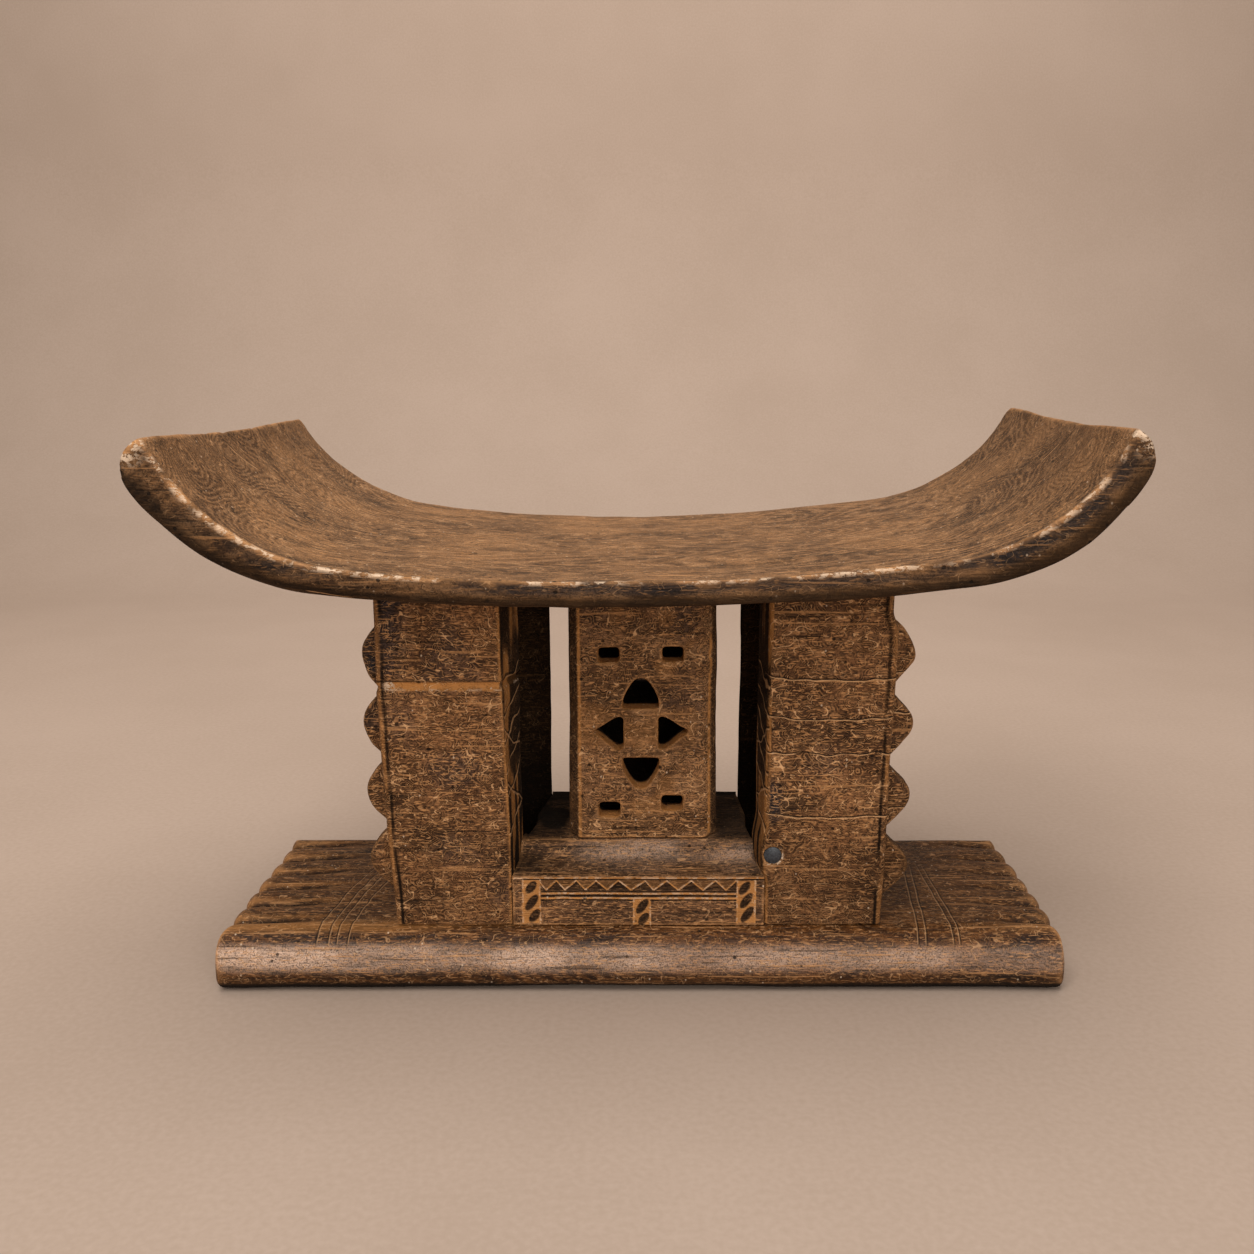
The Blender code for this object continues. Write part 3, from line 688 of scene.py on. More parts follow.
# %% Tables along the seat
STATIONS = np.array([-0.29, -0.255, -0.21, -0.15, -0.08, 0.0, 0.08, 0.15, 0.21, 0.25, 0.29])
NEAR_SHIFT = (-1.5, 1.0, 0.5, 0.0, 0.0, 0.0, 0.0, 0.0, -0.4, 0.3, -1.5)
NEAR_DROP = (-2.0, -4.3, -4.5, -4.2, -2.4, -0.3, 0.0, 0.0, 0.0, 0.0, 3.5)
FAR_SHIFT = (5.0, 4.0, 2.0, 0.0, 0.0, 0.0, 0.0, 2.0, 8.0, 14.0, 17.0)
FAR_DROP = (-7.0, -1.0, 1.5, -0.8, -0.6, 0.9, 1.5, 2.6, 2.4, 3.4, 5.0)
NOSE_RADIUS = (4.0, 6.0, 13.5, 11.0, 6.0, 3.5, 3.5, 4.0, 5.0, 5.0, 5.0)
END_SAG = 0.0028
FAR_CORNER_RADIUS = 0.009


def along_seat(x, y, near, far):
    """Read a pair of tables, and blend from the near edge to the far one."""
    back = ramp(-SEAT_HALF_DEPTH, SEAT_HALF_DEPTH, y)
    near, far = (np.interp(x, STATIONS, table) * MM for table in (near, far))
    return near + (far - near) * back


def seat_drop(x, y):
    """How much higher the seat lies at a place than an even one: mostly below 0."""
    back = ramp(-SEAT_HALF_DEPTH, SEAT_HALF_DEPTH, y)
    sag = END_SAG * np.sin(math.pi * back) * ramp(0.245, 0.280, np.abs(x))
    return along_seat(x, y, NEAR_DROP, FAR_DROP) - sag


# %% Round the seat's edges
def round_nose(points, under_line):
    """Round the lower front arris, square to the leaning underside."""
    x, y, z = points.T
    reach = np.abs(x)
    slopes = np.gradient(under_line[:, 1], under_line[:, 0])
    lean = np.arctan(np.interp(reach, under_line[:, 0], slopes))
    above = (z - SEAT_MIDDLE - np.interp(reach, *under_line.T)) * np.cos(lean)
    inwards = SEAT_HALF_DEPTH + y
    radius = np.interp(x, STATIONS, NOSE_RADIUS) * MM
    new_inwards, new_above = round_arris(inwards, above, radius)
    lift = (new_above - above) * ramp(0.276, 0.262, reach)
    points[:, 1] += (new_inwards - inwards) * ramp(0.276, 0.262, reach)
    points[:, 2] += lift * np.cos(lean)
    points[:, 0] -= np.sign(x) * lift * np.sin(lean)


def round_far_corners(points):
    """Round the far corners of both ends, seen along their slope."""
    deep = np.clip(points[:, 1] - (SEAT_HALF_DEPTH - FAR_CORNER_RADIUS), 0, FAR_CORNER_RADIUS)
    corner = FAR_CORNER_RADIUS - np.sqrt(FAR_CORNER_RADIUS ** 2 - deep ** 2)
    corner *= ramp(0.230, 0.272, np.abs(points[:, 0]))
    points[:, 0] -= np.sign(points[:, 0]) * corner * 0.44
    points[:, 2] -= corner * 0.90


surface = Surface(seat)
points = surface.points
side = points[:, 1] / SEAT_HALF_DEPTH
points[:, 1] = SEAT_HALF_DEPTH * (1.25 * side - 0.25 * side ** 3)
front_edge = ramp(-0.146, -0.150, points[:, 1])
shares = np.linspace(0, 1, LINE_POINTS)
under_line, top_line = (seat_section(shares, np.full(LINE_POINTS, up)) for up in (-1.0, 1.0))
round_nose(points, under_line)
round_far_corners(points)
surface.smooth(3)
print("front edge rounded to", min(NOSE_RADIUS), "to", max(NOSE_RADIUS), "mm")

# %% Bend and wear the seat, and paint its light and shade
x, y, z = points.T
shift, drop = along_seat(x, y, NEAR_SHIFT, FAR_SHIFT), seat_drop(x, y)
points[:, 0] += shift
points[:, 2] += drop
chips = ramp(0.25, 0.55, noise(points, 0.007, 3, (2.5, 1.0, 1.0)))
surface.uneven((0.060, 1, 1, 0.0007), (0.018, 2, 1, 0.00025))
rim = ramp(0.0003, 0.0011, surface.rise(14))
surface.push(-0.0009 * chips * rim)
floor_z, ceiling_z = (np.interp(np.abs(x), *line.T) for line in (under_line, top_line))
level = (z - drop - SEAT_MIDDLE - floor_z) / (ceiling_z - floor_z)
# Painted shade: faces of the seat that turn down are darkened.
underneath = ramp(0.1, -0.5, surface.normals()[:, 2]) * (1 - front_edge)
patches = noise(points, 0.030, 5, (1.6, 1, 1))
arris = ramp(-0.1480, -0.1496, y) * ramp(0.80, 0.95, level)
arris *= ramp(-0.35, -0.05, noise(points, 0.006, 6, (2.5, 1, 1)))
tips = ramp(0.268, 0.280, np.abs(x)) * ramp(-0.130, -0.148, y) * ramp(0.55, 0.75, level)
# Painted shade: the right end of the seat's top, and a little the left end, darkened where less
# light falls.
shade = ramp(0.190, 0.250, x) * 0.22 + ramp(-0.215, -0.260, x) * 0.08
# The front edge is dark, darker on its lower part as painted shade where it turns under; its upper
# band gets a blue-black painted reflection.
surface.keep(
    wear=np.maximum(rim * ramp(-0.2, 0.3, level), arris) * 0.8
    + front_edge * ramp(0.15, 0.55, noise(points, 0.0040, 7, (3, 1, 1))) * 0.45,
    grime=underneath * 0.8 + front_edge * (0.52 + 0.42 * ramp(0.55, 0.25, level)) * (1 - arris)
    + shade * (1 - front_edge),
    glow=front_edge * ramp(0.50, 0.25, level) * ramp(-0.6, 0.5, patches) * 0.30,
    pale=np.maximum(rim * chips * ramp(-0.10, -0.14, y) * ramp(0.3, 0.7, level),
                    arris * 0.75 + tips * 0.8),
    patina=front_edge * ramp(0.40, 0.62, level) * ramp(-0.5, 0.2, patches) * 0.75)
settle(seat, "seat", seat_wood)

# %% [markdown]
# ## The base
#
# The slab is carved at both ends into round fingers, with tapering flutes between them. The long
# edges are rolled, the ends bulge a little at the back, and each finger ends in its own round tip.

# %% Shape the base
BASE_HALF_DEPTH = 0.091
BASE_TOP = 0.0405
TOP_ROLL, FOOT_ROLL = (0.021, 0.027), (0.013, 0.011)
FINGERS = 7
NOTCH_DEPTH = 0.0062
FLUTE_DEPTH = 0.0038

base = fine_copy("base", 0.0017)
surface = Surface(base)
surface.smooth(1)
points = surface.points
x, y, z = points.T
for height, way, radii in ((BASE_TOP, -1, TOP_ROLL), (0.0, 1, FOOT_ROLL)):
    near_side, from_face = BASE_HALF_DEPTH - np.abs(y), way * (z - height)
    rolled, moved = round_arris(near_side, from_face, *radii)
    points[:, 1] -= np.sign(y) * (rolled - near_side)
    points[:, 2] += way * (moved - from_face)
finger = (y + BASE_HALF_DEPTH) / (2 * BASE_HALF_DEPTH) * FINGERS
between = np.abs(finger - np.floor(finger) - 0.5) * 2
notch = (between * ramp(BASE_HALF_DEPTH, BASE_HALF_DEPTH - 0.010, np.abs(y))) ** 2.6
points[:, 0] -= np.sign(x) * notch * NOTCH_DEPTH * ramp(0.235, 0.275, np.abs(x))
flute = np.where(x < 0, ramp(0.195, 0.262, -x), ramp(0.225, 0.268, x))
points[:, 2] -= notch * FLUTE_DEPTH * flute * ramp(0.020, 0.036, z)
surface.smooth(1)
along = np.clip((y + BASE_HALF_DEPTH) / (2 * BASE_HALF_DEPTH), 0, 1)
left_bulge = 0.0022 * ramp(0.3, 0.9, along) - 0.0012 * ramp(0.25, 0.05, along)
points[:, 0] += ramp(0.19, 0.27, x) * 0.0028 * np.sin(math.pi * along) + (
    ramp(-0.19, -0.27, x) * left_bulge)
surface.uneven((0.045, 11, 1, 0.0005), (0.014, 12, 2, 0.00022))
toe = ramp(0.011, 0.0, z) * ramp(0.262, 0.276, np.abs(x)) * ramp(-0.070, -0.088, y)
points[:, 0] -= np.sign(x) * 0.0035 * toe ** 2
points[:, 2] = np.maximum(z, 0.0)
print("fingers at each end:", FINGERS)

# %% Wear the base, and paint its light and shade
proud, fine = surface.rise(30), surface.rise(6)
up = surface.normals()[:, 2]
# Streaks that break up the painted highlight on the front roll.
sheen_streaks = 0.52 + 0.50 * ramp(-0.5, 0.4, noise(points, 0.012, 14, (3, 1, 1)))
# Painted shade: faces turned down and the foot of the base, darkest next to the floor; the flutes
# are darker. Painted highlight: the grey band along the upper front roll.
surface.keep(
    wear=ramp(0.0004, 0.0022, proud) * 0.55 + ramp(0.0001, 0.0005, fine) * 0.35,
    grime=ramp(0.0004, 0.0022, -proud) * 0.75 + ramp(-0.5, -0.9, up) * 0.5
    + ramp(0.017, 0.009, z) * 0.36 + ramp(0.0085, 0.0050, z) * 0.80
    + ramp(0.25, 0.9, notch) * ramp(0.200, 0.235, np.abs(x)) * np.where(x < 0, 0.60, 0.30),
    glow=ramp(-0.2, 0.6, noise(points, 0.03, 13, (3, 1, 1))) * ramp(-0.060, -0.075, y)
    * ramp(0.75, 0.95, up) * 0.45
    + plateau(0.08, 0.25, 0.3, 0.6, notch) * ramp(0.190, 0.22, -x) * 0.25,
    patina=plateau(0.012, 0.022, 0.027, 0.0345, z) * ramp(-0.072, -0.078, y)
    * (1 - 0.40 * ramp(-0.10, 0.15, x)) * sheen_streaks)
settle(base, "base", base_wood)

# %% [markdown]
# ## The posts
#
# The four corner posts are plain on their faces and carry a ridge of round scallops outside. The
# real left posts lean out a little further than a mirror image would, so their outer side is
# shifted by a table, in millimetres at each height. Their tops follow the seat, which lies lower
# there. A shallow band is sunk into the front left post.

# %% Tables of the posts
POST_HEIGHTS = (0.040, 0.062, 0.088, 0.112, 0.150, 0.200, 0.235, 0.275)
LEFT_SHIFT = (2.5, 3.2, 4.8, 5.6, 6.0, 6.4, 5.2, 4.3)
LEFT_DRAW_IN = (0.0, 1.0, 2.2, 3.0, 3.4, 3.8, 4.4, 4.0)
LEFT_LIFT = (0.0, 0.0, 0.0, 0.0, 1.2, 2.9, 3.2, 0.0)
RIGHT_LIFT = (0.0, 0.8, 1.3, 1.3, 1.3, 1.0, 0.0, 0.0)
POST_FACE = 0.075
OUTER_EDGE_ENDS, OUTER_EDGE_REACH = (0.041, 0.275), (0.1580, 0.1625)
BAND_FOOT, BAND_HEAD, BAND_DEPTH = 0.1996, 0.2048, 0.0016
COLUMN_FOOT = 0.0901
PLUG_SHIFT = np.array([-0.0021, 0.0, -0.0011])
plug_low, plug_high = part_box("plug")
plug_middle = (plug_low + plug_high) / 2
print("middle of the plug:", [round(n, 4) for n in plug_middle])


# %% Shape a post
def bend_post(surface, node, number, ridge):
    """Move a post's points to where its carver left them."""
    points = surface.points
    x, y, z = points.T

    def table(values):
        return np.interp(z, POST_HEIGHTS, values) * MM

    if "left" in node:
        lift, shift = table(LEFT_LIFT), table(LEFT_SHIFT) - table(LEFT_DRAW_IN) * ridge
    else:
        lift, shift = table(RIGHT_LIFT), -0.0038 * ramp(0.236, 0.250, z)
        shift = shift - 0.0020 * ridge * plateau(0.214, 0.228, 0.236, 0.248, z)
    shift = shift * ramp(0.10, 0.155, np.abs(x)) * np.sign(x)
    if node == "post_back_right":
        shift = shift + 0.0014 * ramp(0.12, 0.08, x)
    if node == "post_front_left":
        turn = ramp(0.095, 0.230, z) * ramp(-0.046, -0.068, y) * ramp(-0.122, -0.090, x)
        points[:, 0] -= 0.0037 * turn
    if node == "post_front_right":
        plug_way = np.hypot(x - plug_middle.x, z - plug_middle.z)
        points += PLUG_SHIFT * ramp(0.022, 0.009, plug_way)[:, None]
    points[:, 0] += shift
    points[:, 2] += lift * ridge
    points[:, 2] += seat_drop(x, y) * ramp(COLUMN_FOOT, 0.262, z)
    surface.uneven((0.038, 20 + number, 1, 0.0005), (0.009, 30 + number, 2.2, 0.00016))


# %% Features of the two front posts
def sink_band(surface):
    """Sink the band into the front left post. Returns its mask and the dark line above it."""
    x, y, z = surface.points.T
    level = z + noise(surface.points, 0.02, 45) * 0.0003
    band = ramp(0.163, 0.160, -x) * plateau(BAND_FOOT - 0.0004, BAND_FOOT + 0.0004,
                                            BAND_HEAD - 0.0006, BAND_HEAD + 0.0006, level)
    slope = np.clip((level - BAND_FOOT) / (BAND_HEAD - BAND_FOOT), 0, 1)
    line = plateau(0.0, 0.0006, 0.0008, 0.0016, level - BAND_HEAD)
    surface.push(-BAND_DEPTH * band * slope)
    return band, line


def crescent(points):
    """A pale crescent on the lower right of the hole for the plug."""
    away = points - (np.array(plug_middle[:]) + PLUG_SHIFT)
    rim = ramp(0.0010, 0.0002, np.abs(np.hypot(away[:, 0], away[:, 2]) - 0.0063))
    return rim * ramp(0.002, -0.002, away[:, 2] - away[:, 0]) * (points[:, 1] < -0.07)


# %% Wear a post, and paint its shade
def wear_post(surface, node, number, ridge, outer):
    """Masks of a post. Outer is the distance of each point from the post's outer edge."""
    points, none = surface.points, np.zeros(len(surface.points))
    is_front, is_left = "front" in node, "left" in node
    band, line = sink_band(surface) if node == "post_front_left" else (none, none)
    rim = crescent(points) if node == "post_front_right" else none
    x, y, z = points.T
    proud, fine = surface.rise(24), surface.rise(5)
    normal = surface.normals()
    outwards = -normal[:, 1] if is_front else normal[:, 1]
    front, inside = ramp(0.3, 0.8, outwards), ramp(-0.2, 0.6, -outwards)
    towards = ramp(0.4, 0.9, normal[:, 0] if is_left else -normal[:, 0])
    left_gap, right_gap = surface.face_reach(front > 0.95)
    inner = right_gap if is_left else left_gap
    face = front * ramp(-0.0010, -0.0002, outer)
    broken = ramp(-0.35, 0.05, noise(points, 0.006, 42, (1, 1, 5)))
    trims = face * broken * (ramp(0.0018, 0.0008, np.abs(outer - 0.0024)) * 0.6
                             + ramp(0.0012, 0.0002, outer) + ramp(0.0012, 0.0002, inner)) * 0.7
    # Painted shade: a dark strip beside the post's outer edge.
    shaded_strip = face * ramp(0.0015, 0.0007, np.abs(outer - 0.0050))
    shaded_strip *= ramp(-0.8, 0.0, noise(points, 0.02, 43))
    streaks = towards * ramp(-0.1, 0.4, noise(points, 0.0045, 40, (1, 1, 9)))
    dark_patch = ramp(-0.138, -0.158, x) * ramp(BAND_HEAD, BAND_HEAD + 0.008, z) * 0.7 + (
        ramp(0.096, 0.084, x) * plateau(0.108, 0.118, 0.133, 0.145, z) * (x > 0) * 0.9)
    # Darker in hollows and towards the foot; painted shade on faces turned inwards between the
    # posts, on the scallop ridge, under the seat, on faces turned towards the column and in the
    # edge strip.
    dirt_and_shade = (ramp(0.0004, 0.0018, -proud) * 0.7 * (1 - band) + inside * 0.9 + ridge * 0.30
            + ramp(0.150, 0.060, z) * np.where(x < 0, 0.24, 0.40) + ramp(0.250, 0.272, z) * 0.25
            + towards * (0.90 if is_front else 0.95) * (1 - 0.75 * streaks) + shaded_strip * 0.85)
    surface.keep(
        wear=ramp(0.0003, 0.0013, proud) * 0.75 + ramp(0.00008, 0.0004, fine) * 0.3,
        grime=dirt_and_shade * (1 - trims) + line * front * 0.8,
        glow=np.max([streaks * 0.9, band * 1.3, trims * 0.9], axis=0) * is_front
        + ridge * ramp(0.0003, 0.0010, fine) * 0.5,
        pale=band * (ramp(BAND_FOOT + 0.0014, BAND_FOOT, z) + ramp(0.1545, 0.1565, -x)) * 0.9 + rim,
        patina=front * (ramp(0.1, 0.5, noise(points, 0.03, 41 + number)) * 0.45 + dark_patch))


# %% Carve all posts
for number, node in enumerate(name for name in sorted(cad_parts) if "post" in name):
    post = fine_copy(node, 0.00105)
    surface = Surface(post)
    surface.smooth(2)
    x, y, z = surface.points.T
    ridge = ramp(0.166, 0.177, np.abs(x))
    outer = np.interp(z, OUTER_EDGE_ENDS, OUTER_EDGE_REACH) - np.abs(x)
    bend_post(surface, node, number, ridge)
    wear_post(surface, node, number, ridge, outer)
    settle(post, node, post_wood)

# %% [markdown]
# ## The column
#
# The column is hollow, and its walls are pierced with leaves and small windows. The fine copy
# keeps both, the leaves are drawn to sharper tips, the foot flares, and the inside is darkened as
# if by old dust and painted shade. In front, the cheeks of the piercing get painted light, in
# bright orange.

# %% Shape the column
CROSS = 0.1623
FOOT_FLARE = 0.0030
column = fine_copy("centre_column", 0.00120)
surface = Surface(column)
surface.smooth(2)
points = surface.points
x, y, z = points.T
rise = np.abs(z - CROSS)
upright = plateau(0.016, 0.018, 0.040, 0.044, rise) * ramp(0.020, 0.014, np.abs(x))
points[:, 0] -= x * upright * (0.10 + 0.22 * ramp(0.020, 0.038, rise))
run = np.abs(x)
sideways = plateau(0.010, 0.012, 0.032, 0.036, run) * ramp(0.017, 0.0125, rise)
points[:, 2] -= (z - CROSS - 0.002) * sideways * (0.05 + 0.65 * ramp(0.014, 0.031, run))
points[:, 0] += 0.0013 * ramp(0.0405, 0.0460, x) + 0.0012 * ramp(-0.0405, -0.0460, x)
foot = ramp(COLUMN_FOOT + 0.0050, COLUMN_FOOT - 0.0015, z) ** 2
points[:, 1] += np.sign(y) * FOOT_FLARE * foot * ramp(0.040, 0.044, np.abs(y))
points[:, 2] += seat_drop(x, y) * ramp(COLUMN_FOOT, 0.262, z)
surface.uneven((0.035, 50, 1, 0.0004), (0.009, 51, 2, 0.00016))
print("the column's foot flares by", FOOT_FLARE / MM, "mm")

# %% Wear the column, and paint its light and shade
proud, fine = surface.rise(20), surface.rise(5)
hollow = ramp(0.050, 0.038, np.abs(x)) * ramp(0.0340, 0.0300, np.abs(y))
front = ramp(0.3, 0.8, -surface.normals()[:, 1])
# Painted light: the cheeks of the front piercing are painted bright orange.
pierced = ramp(0.040, 0.038, np.abs(x)) * ramp(0.5, 0.2, front) * ramp(-0.027, -0.029, y)
edge = np.minimum(*surface.face_reach((front > 0.95) & (y < -0.04)))
trims = ramp(0.0013, 0.0003, np.abs(edge - 0.0012)) + front * ramp(0.0004, 0.0009, fine)
trims *= ramp(-0.4, 0.0, noise(points, 0.006, 54, (1, 1, 4))) * (y < -0.040)
# Dark inside the hollow as dust and painted shade; painted shade under the seat and a little on the
# upper column; darker along the face edges.
dirt_and_shade = (ramp(0.0004, 0.0018, -proud) * 0.5 + hollow + ramp(0.246, 0.270, z) * 0.50
        + ramp(0.120, 0.170, z) * 0.07 + ramp(0.0008, -0.0008, edge) * 0.65 * (1 - pierced))
bare = ramp(0.25, 0.6, noise(points, 0.016, 52)) * 0.2 * (1 - hollow)
surface.keep(
    wear=ramp(0.0003, 0.0013, proud) * 0.7 + ramp(0.00008, 0.0004, fine) * 0.3,
    grime=dirt_and_shade * (1 - trims),
    glow=np.max([bare, trims * 0.9, pierced * 0.9], axis=0),
    patina=ramp(0.2, 0.6, noise(points, 0.03, 53)) * 0.35 * ramp(0.10, 0.16, z))
settle(column, "centre_column", column_wood)

# %% [markdown]
# ## The plinth
#
# The plinth is swept from its side view in steps of half a millimetre, so that the frieze can be
# cut sharply into its front: face, lip, ledge, a riser that sweeps up, and the flat pad under the
# column. The back is the same, turned round.

# %% Side view of the plinth
PLINTH_FOOT = 0.0408
LIP = PLINTH_FOOT + 0.0340
LEDGE_BACK = LIP + 0.0045
PAD = PLINTH_FOOT + 0.0490
RISER_TOE, RISER_TOP = 0.0540, 0.0465
PLINTH_CUTS = 320


def evenly(corners, count):
    """So many points at even steps along a line."""
    return walk(np.array(corners), np.linspace(0, 1, count))


def plinth_side():
    """Closed line round the side view, as (towards the back, up)."""
    turned = np.array([-1, 1])
    face = np.array([(-POST_FACE, PLINTH_FOOT), (-POST_FACE, LIP)])
    steps = np.linspace(0, 1, 12)
    ease = steps * steps * (3 - 2 * steps)
    riser = np.stack([-RISER_TOE + (RISER_TOE - RISER_TOP) * steps,
                      LEDGE_BACK + (PAD - LEDGE_BACK) * ease], axis=1)
    ledge = evenly([face[1], riser[0]], 22)[1:-1]
    half = np.concatenate([evenly(face, 69), ledge, riser])
    pad = evenly([half[-1], half[-1] * turned], 40)[1:-1]
    foot = evenly([half[0] * turned, half[0]], 30)[1:-1]
    rear = np.concatenate([evenly(face * turned, 20), ledge * turned, riser * turned])
    return np.concatenate([half, pad, rear[::-1], foot])


# %% Sweep the plinth
bm = bmesh.new()
ring = [bm.verts.new((-1.0, deep, up)) for deep, up in plinth_side()]
bmesh.ops.contextual_create(bm, geom=ring)
thicken(bm, (2, 0, 0))
long_edges = [edge for edge in bm.edges if edge.calc_length() > 1.0]
bmesh.ops.subdivide_edges(bm, edges=long_edges, cuts=PLINTH_CUTS, use_grid_fill=True)
bmesh.ops.triangulate(bm, faces=[face for face in bm.faces if len(face.verts) > 4])
plinth = to_piece(bm, "carved_plinth")
print("plinth has", len(plinth.data.vertices), "points")

# %% [markdown]
# ## Cutting the frieze
#
# Each cut is a distance turned into a mask. Where the mask is 1 the chisel has gone to its full
# depth, and where it is 0 the old face stands. What is left standing between two cuts reads as a
# pale raised line.

# %% Tables of the frieze
ZIGZAG_TOPS = (-67.0, -55.1, -42.1, -29.1, -14.8, 3.0, 16.9, 33.1, 48.6, 62.2)
ZIGZAG_FEET = (-61.8, -49.7, -36.2, -21.9, -6.4, 8.5, 24.6, 40.8, 55.7)
ZIGZAG_HIGH, ZIGZAG_LOW = 71.6, 65.1
RAISED_LINES = (62.7, 59.5)
GROOVES = ((64.0, 0.5), (61.1, 0.85), (58.2, 0.5))
LIP_LINE, LIP_GROOVE = (73.6, 0.55), (72.5, 0.45)
BANDS = ((-71.4, 5.6, 41.9, 72.2), (0.7, 5.4, 40.9, 58.8), (69.0, 5.8, 42.5, 71.6))
OVALS = ((-71.6, 66.9, 5.0), (-71.3, 56.3, 6.6), (-69.6, 46.9, 5.4), (1.0, 53.6, 6.2),
         (1.8, 44.6, 5.2), (67.8, 66.3, 5.2), (69.1, 57.5, 6.2), (70.0, 48.0, 6.4))
OVAL_HALF_WIDTH = 2.7
OVAL_TILT = math.radians(55.0)


# %% Depth of the frieze
def stroke(distance, half):
    """1 on a line, 0 away from it."""
    return 1.0 - ramp(half * 0.55, half * 1.25, np.abs(distance))


def frieze(x, z):
    """Depth of the cuts, and masks of the orange, dark and raised parts, all in millimetres."""
    knots = np.sort(np.r_[ZIGZAG_TOPS, ZIGZAG_FEET])
    heights = np.where(np.isin(knots, ZIGZAG_TOPS), ZIGZAG_HIGH, ZIGZAG_LOW)
    zigzag = np.interp(x, knots, heights)
    row = plateau(-67.4, -66.8, 62.2, 62.8, x)
    row *= plateau(ZIGZAG_LOW - 0.5, ZIGZAG_LOW, 71.8, 72.3, z)
    ridge = stroke((z - zigzag) * 0.72, 0.52) * row
    above, below = row * (z > zigzag) * (1 - ridge), row * (z <= zigzag) * (1 - ridge)
    span = plateau(-65.6, -64.8, 62.6, 63.2, x)
    lines = sum(stroke(z - height, 0.62) for height in RAISED_LINES) * span
    grooves = sum(stroke(z - height, half) for height, half in GROOVES) * span
    lip_groove = stroke(z - LIP_GROOVE[0], LIP_GROOVE[1]) * ramp(-78, -77, x)
    orange, dark, deep = above * 0.30, below * 0.70 + above * 0.40, above * 0.45 + below * 0.95
    raised = ridge + lines + stroke(z - LIP_LINE[0], LIP_LINE[1])
    for middle, half, low, high in BANDS:
        away = np.abs(x - middle)
        inside = ramp(half + 0.25, half - 0.25, away)
        inside *= plateau(low - 0.25, low + 0.25, high - 0.25, high + 0.25, z)
        frame_line = stroke(away - half, 0.5) * plateau(low - 0.5, low, high, high + 0.5, z)
        raised = raised * (1 - inside) + frame_line
        orange = orange * (1 - inside) + inside * 0.95
        dark, grooves = dark * (1 - inside), grooves * (1 - inside)
        deep = deep * (1 - inside) + inside * 0.35 * (1 - frame_line)
    for centre_x, centre_z, half in OVALS:
        dx, dz = x - centre_x, z - centre_z
        along = dx * math.cos(OVAL_TILT) + dz * math.sin(OVAL_TILT)
        across = dz * math.cos(OVAL_TILT) - dx * math.sin(OVAL_TILT)
        round_part = np.hypot(along / half, across / OVAL_HALF_WIDTH)
        oval = ramp(1.06, 0.90, round_part)
        orange, raised = orange * (1 - oval), raised * (1 - oval)
        dark = np.maximum(dark, oval * 0.75)
        deep = deep * (1 - oval) + oval * (1.2 - 0.9 * np.clip(1 - round_part, 0, 1))
    deep = np.max([deep, grooves * 0.8, lip_groove * 0.6], axis=0)
    dark = np.max([dark, grooves * 0.9, lip_groove * 0.9], axis=0)
    return deep, orange, dark, np.clip(raised, 0, 1)


# %% Carve and wear the plinth, and paint its light and shade
DEPTHS = (-0.075, -0.042, 0.042, 0.075)
LEFT_REACH, RIGHT_REACH = (0.0837, 0.0792, 0.0657, 0.0702), (0.0807, 0.0762, 0.0697, 0.0742)

surface = Surface(plinth)
points = surface.points
left, right = (np.interp(points[:, 1], DEPTHS, reach) for reach in (LEFT_REACH, RIGHT_REACH))
points[:, 0] = (points[:, 0] + 1) / 2 * (left + right) - left
x, y, z = points.T
surface.uneven((0.03, 60, 1, 0.0004), (0.008, 61, 3, 0.0002))
on_face = ramp(-0.0738, -0.0745, y)
wobble = noise(points, 0.010, 62) * 0.00025
deep, orange, dark, raised = (mask * on_face
                              for mask in frieze((x + wobble) / MM, (z + wobble) / MM))
points[:, 1] += deep * MM
on_ledge = ramp(0.0752, 0.0765, z)
surface.smooth(40, on_ledge * plateau(-0.070, -0.066, -0.02, 0.0, y)
               * ramp(0.079, 0.074, np.abs(x)))
# Painted shade: the left of the ledge, the ledge beside the posts and the back of the plinth.
# Painted highlight: a lighter grey film on the ledge by the column's foot.
left_ledge_shade = on_ledge * ramp(0.02, -0.07, x) * ramp(-0.3, 0.3, noise(points, 0.02, 63)) * 0.65
beside = on_ledge * ramp(0.044, 0.056, np.abs(x)) * ramp(-0.052, -0.040, y) * 0.75
film_and_sheen = plateau(-0.064, -0.054, -0.047, -0.044, y) * 0.35 + 0.12
film_and_sheen *= ramp(0.0748, 0.0765, z) * ramp(0.085, 0.040, np.abs(x - 0.025))
surface.keep(
    wear=ramp(0.0003, 0.0012, surface.rise(24)) * 0.5 + raised * 0.6,
    grime=np.maximum(dark, left_ledge_shade) + ramp(0.036, 0.044, y) * 0.5 + beside,
    glow=orange * 0.85 + raised,
    pale=raised * 0.50,
    patina=film_and_sheen * ramp(-0.8, 0.3, noise(points, 0.012, 64, (3, 1, 1))))
settle(plinth, "plinth", plinth_wood)

# %% [markdown]
# ## The plug
#
# A small dark plug fills a hole in the front right post. It starts as a disc, is drawn forward in
# rings to a low dome, and is closed behind.

# %% Make the plug
DOME_RINGS = 6
DOME_STEP = 0.00005

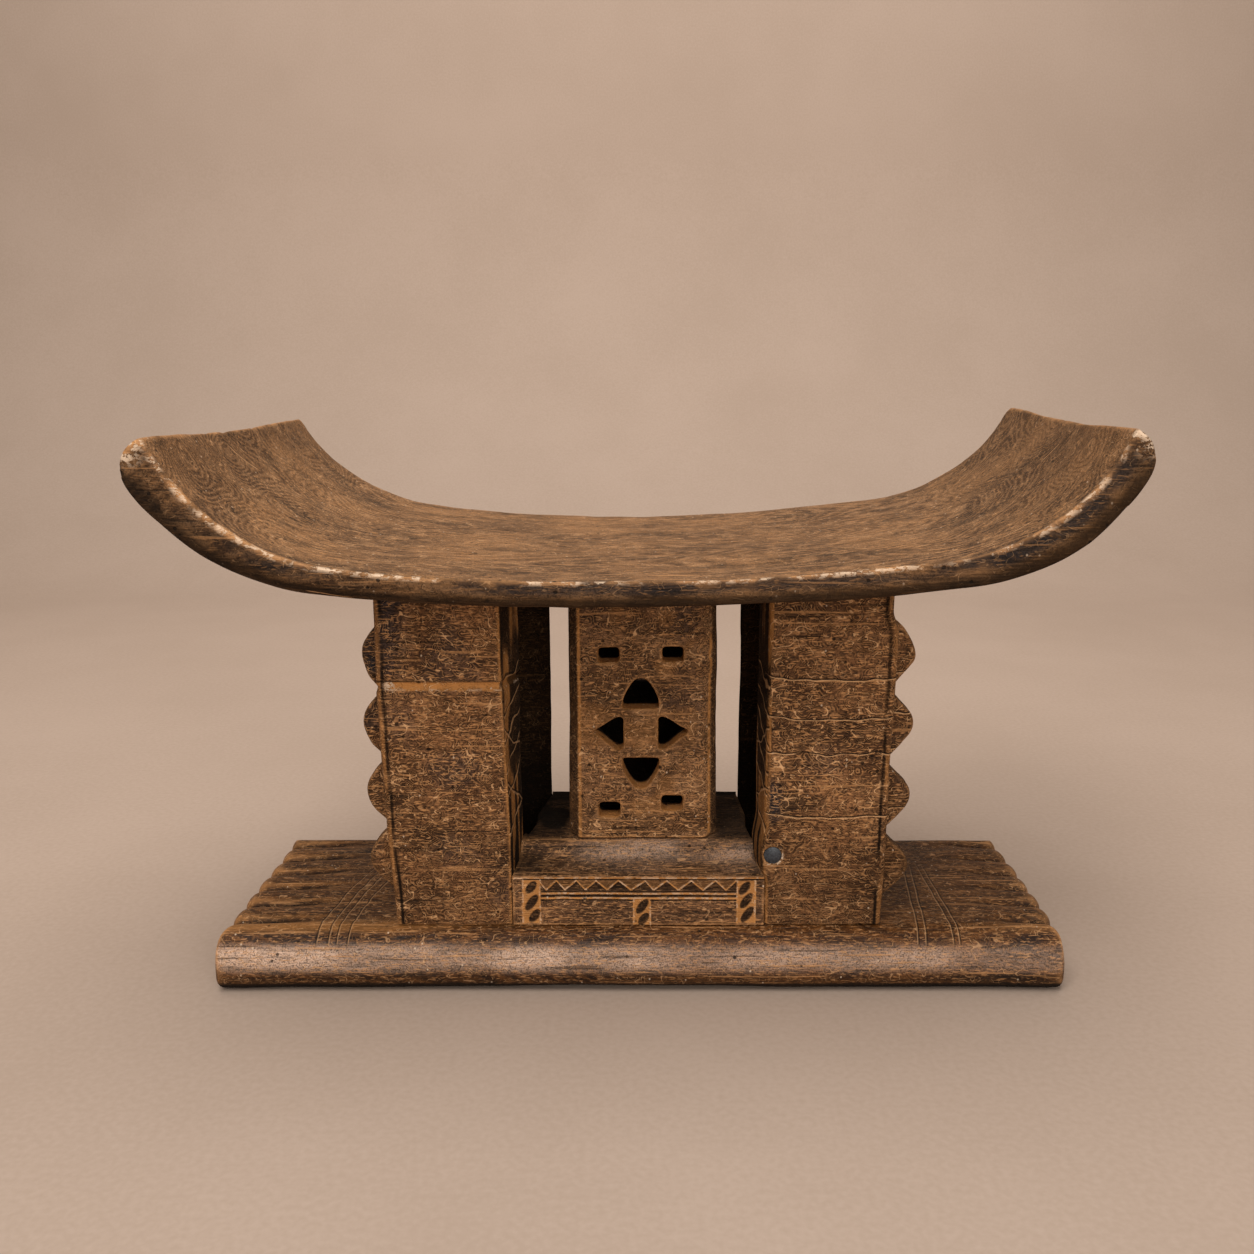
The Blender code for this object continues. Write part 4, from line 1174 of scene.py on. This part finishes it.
plug_radius = (plug_high.x - plug_low.x) / 2
bm = bmesh.new()
bmesh.ops.create_circle(bm, cap_ends=True, segments=48, radius=plug_radius)
thicken(bm, (0, 0, plug_high.y - plug_low.y))
cap = [face for face in bm.faces if len(face.verts) > 4 and face.calc_center_median().z > 0.001]
for ring_number in range(DOME_RINGS):
    bmesh.ops.inset_region(bm, faces=cap, thickness=plug_radius / (DOME_RINGS + 2), depth=0.0)
    bmesh.ops.translate(bm, verts=list({vert for face in cap for vert in face.verts}),
                        vec=(0, 0, DOME_STEP * (DOME_RINGS - ring_number)))
bmesh.ops.recalc_face_normals(bm, faces=bm.faces)
bmesh.ops.rotate(bm, verts=bm.verts, matrix=Matrix.Rotation(math.radians(90), 3, "X"))
bmesh.ops.translate(bm, verts=bm.verts,
                    vec=(plug_middle.x + PLUG_SHIFT[0], plug_high.y, plug_middle.z + PLUG_SHIFT[2]))
plug = to_piece(bm, "carved_plug")
plug.data.shade_smooth()
plug.data.set_sharp_from_angle(angle=math.radians(40.0))

plug_wood, start, place = new_material("plug_wood")
mottle = place.noise(0.0012, 3.0, 0.6)
bump = start.add("ShaderNodeBump", None, {"Distance": 0.0002, "Height": mottle}, "Normal")
colour = mottle.step(0.35, 0.7).tint((0.012, 0.014, 0.018), (0.040, 0.044, 0.052))
close_material(start, colour, 0.45, 0.5, Normal=bump)
settle(plug, "plug", plug_wood)

# %% [markdown]
# ## Floor, backdrop and light
#
# The stool stands on one sheet of warm beige paper that sweeps up behind it, under large soft
# lamps, as in a studio. The sheet is a flat line drawn sideways: floor, curve and wall.

# %% Sweep of paper
SHEET_HALF = 4.0
SHEET_FRONT = -3.0
SHEET_TOP = 4.0
SWEEP_RADIUS = 0.9
WALL_PLACE = 2.2

turns = np.radians(np.linspace(-90, 0, 25))
sweep = [(SHEET_FRONT, 0.0)]
sweep += [(WALL_PLACE - SWEEP_RADIUS + SWEEP_RADIUS * math.cos(turn),
           SWEEP_RADIUS + SWEEP_RADIUS * math.sin(turn)) for turn in turns]
sweep.append((WALL_PLACE, SHEET_TOP))
bm = bmesh.new()
verts = [bm.verts.new((-SHEET_HALF, deep, up)) for deep, up in sweep]
edges = [bm.edges.new(pair) for pair in zip(verts, verts[1:])]
move_new(bm, bmesh.ops.extrude_edge_only(bm, edges=edges), (2 * SHEET_HALF, 0, 0))
paper = to_piece(bm, "paper_sweep")
paper.data.shade_smooth()
beige_paper, start, place = new_material("beige_paper")
mottle = place.noise(0.30, 4.0, 0.6) * 0.5 + place.noise(0.004, 2.0) * 0.5
colour = mottle.step(0.3, 0.7).tint((0.400, 0.300, 0.234), (0.445, 0.337, 0.268))
close_material(start, colour, 0.9, 0.2)
paper.data.materials.append(beige_paper)
print("paper sweeps up at", WALL_PLACE, "m behind the stool")

# %% Lamps
world = bpy.data.worlds.new("studio")
world.use_nodes = True
sky = world.node_tree.nodes["Background"].inputs
sky["Color"].default_value = (1.0, 0.96, 0.92, 1.0)
sky["Strength"].default_value = 0.30
bpy.context.scene.world = world
LAMPS = (("key", (-0.6, -1.5, 2.0), (-0.1, 0.0, 0.1), 1.1, 28.0),
         ("fill", (0.6, -2.2, 0.8), (0.0, 0.0, 0.2), 1.3, 22.0),
         ("top", (0.0, -0.15, 2.3), (0.0, 0.0, 0.0), 1.7, 28.0),
         ("wall", (0.0, 1.0, 2.4), (0.0, 2.2, 1.7), 3.0, 35.0))
for name, spot, target, size, power in LAMPS:
    lamp = bpy.data.lights.new(name, "AREA")
    lamp.shape = "SQUARE"
    lamp.size = size
    lamp.energy = power
    lamp.color = (1.0, 0.97, 0.93)
    holder = bpy.data.objects.new(name, lamp)
    holder.location = spot
    aim = Vector(target) - Vector(spot)
    holder.rotation_euler = aim.to_track_quat("-Z", "Y").to_euler()
    bpy.context.scene.collection.objects.link(holder)
print("lamps:", [lamp[0] for lamp in LAMPS])
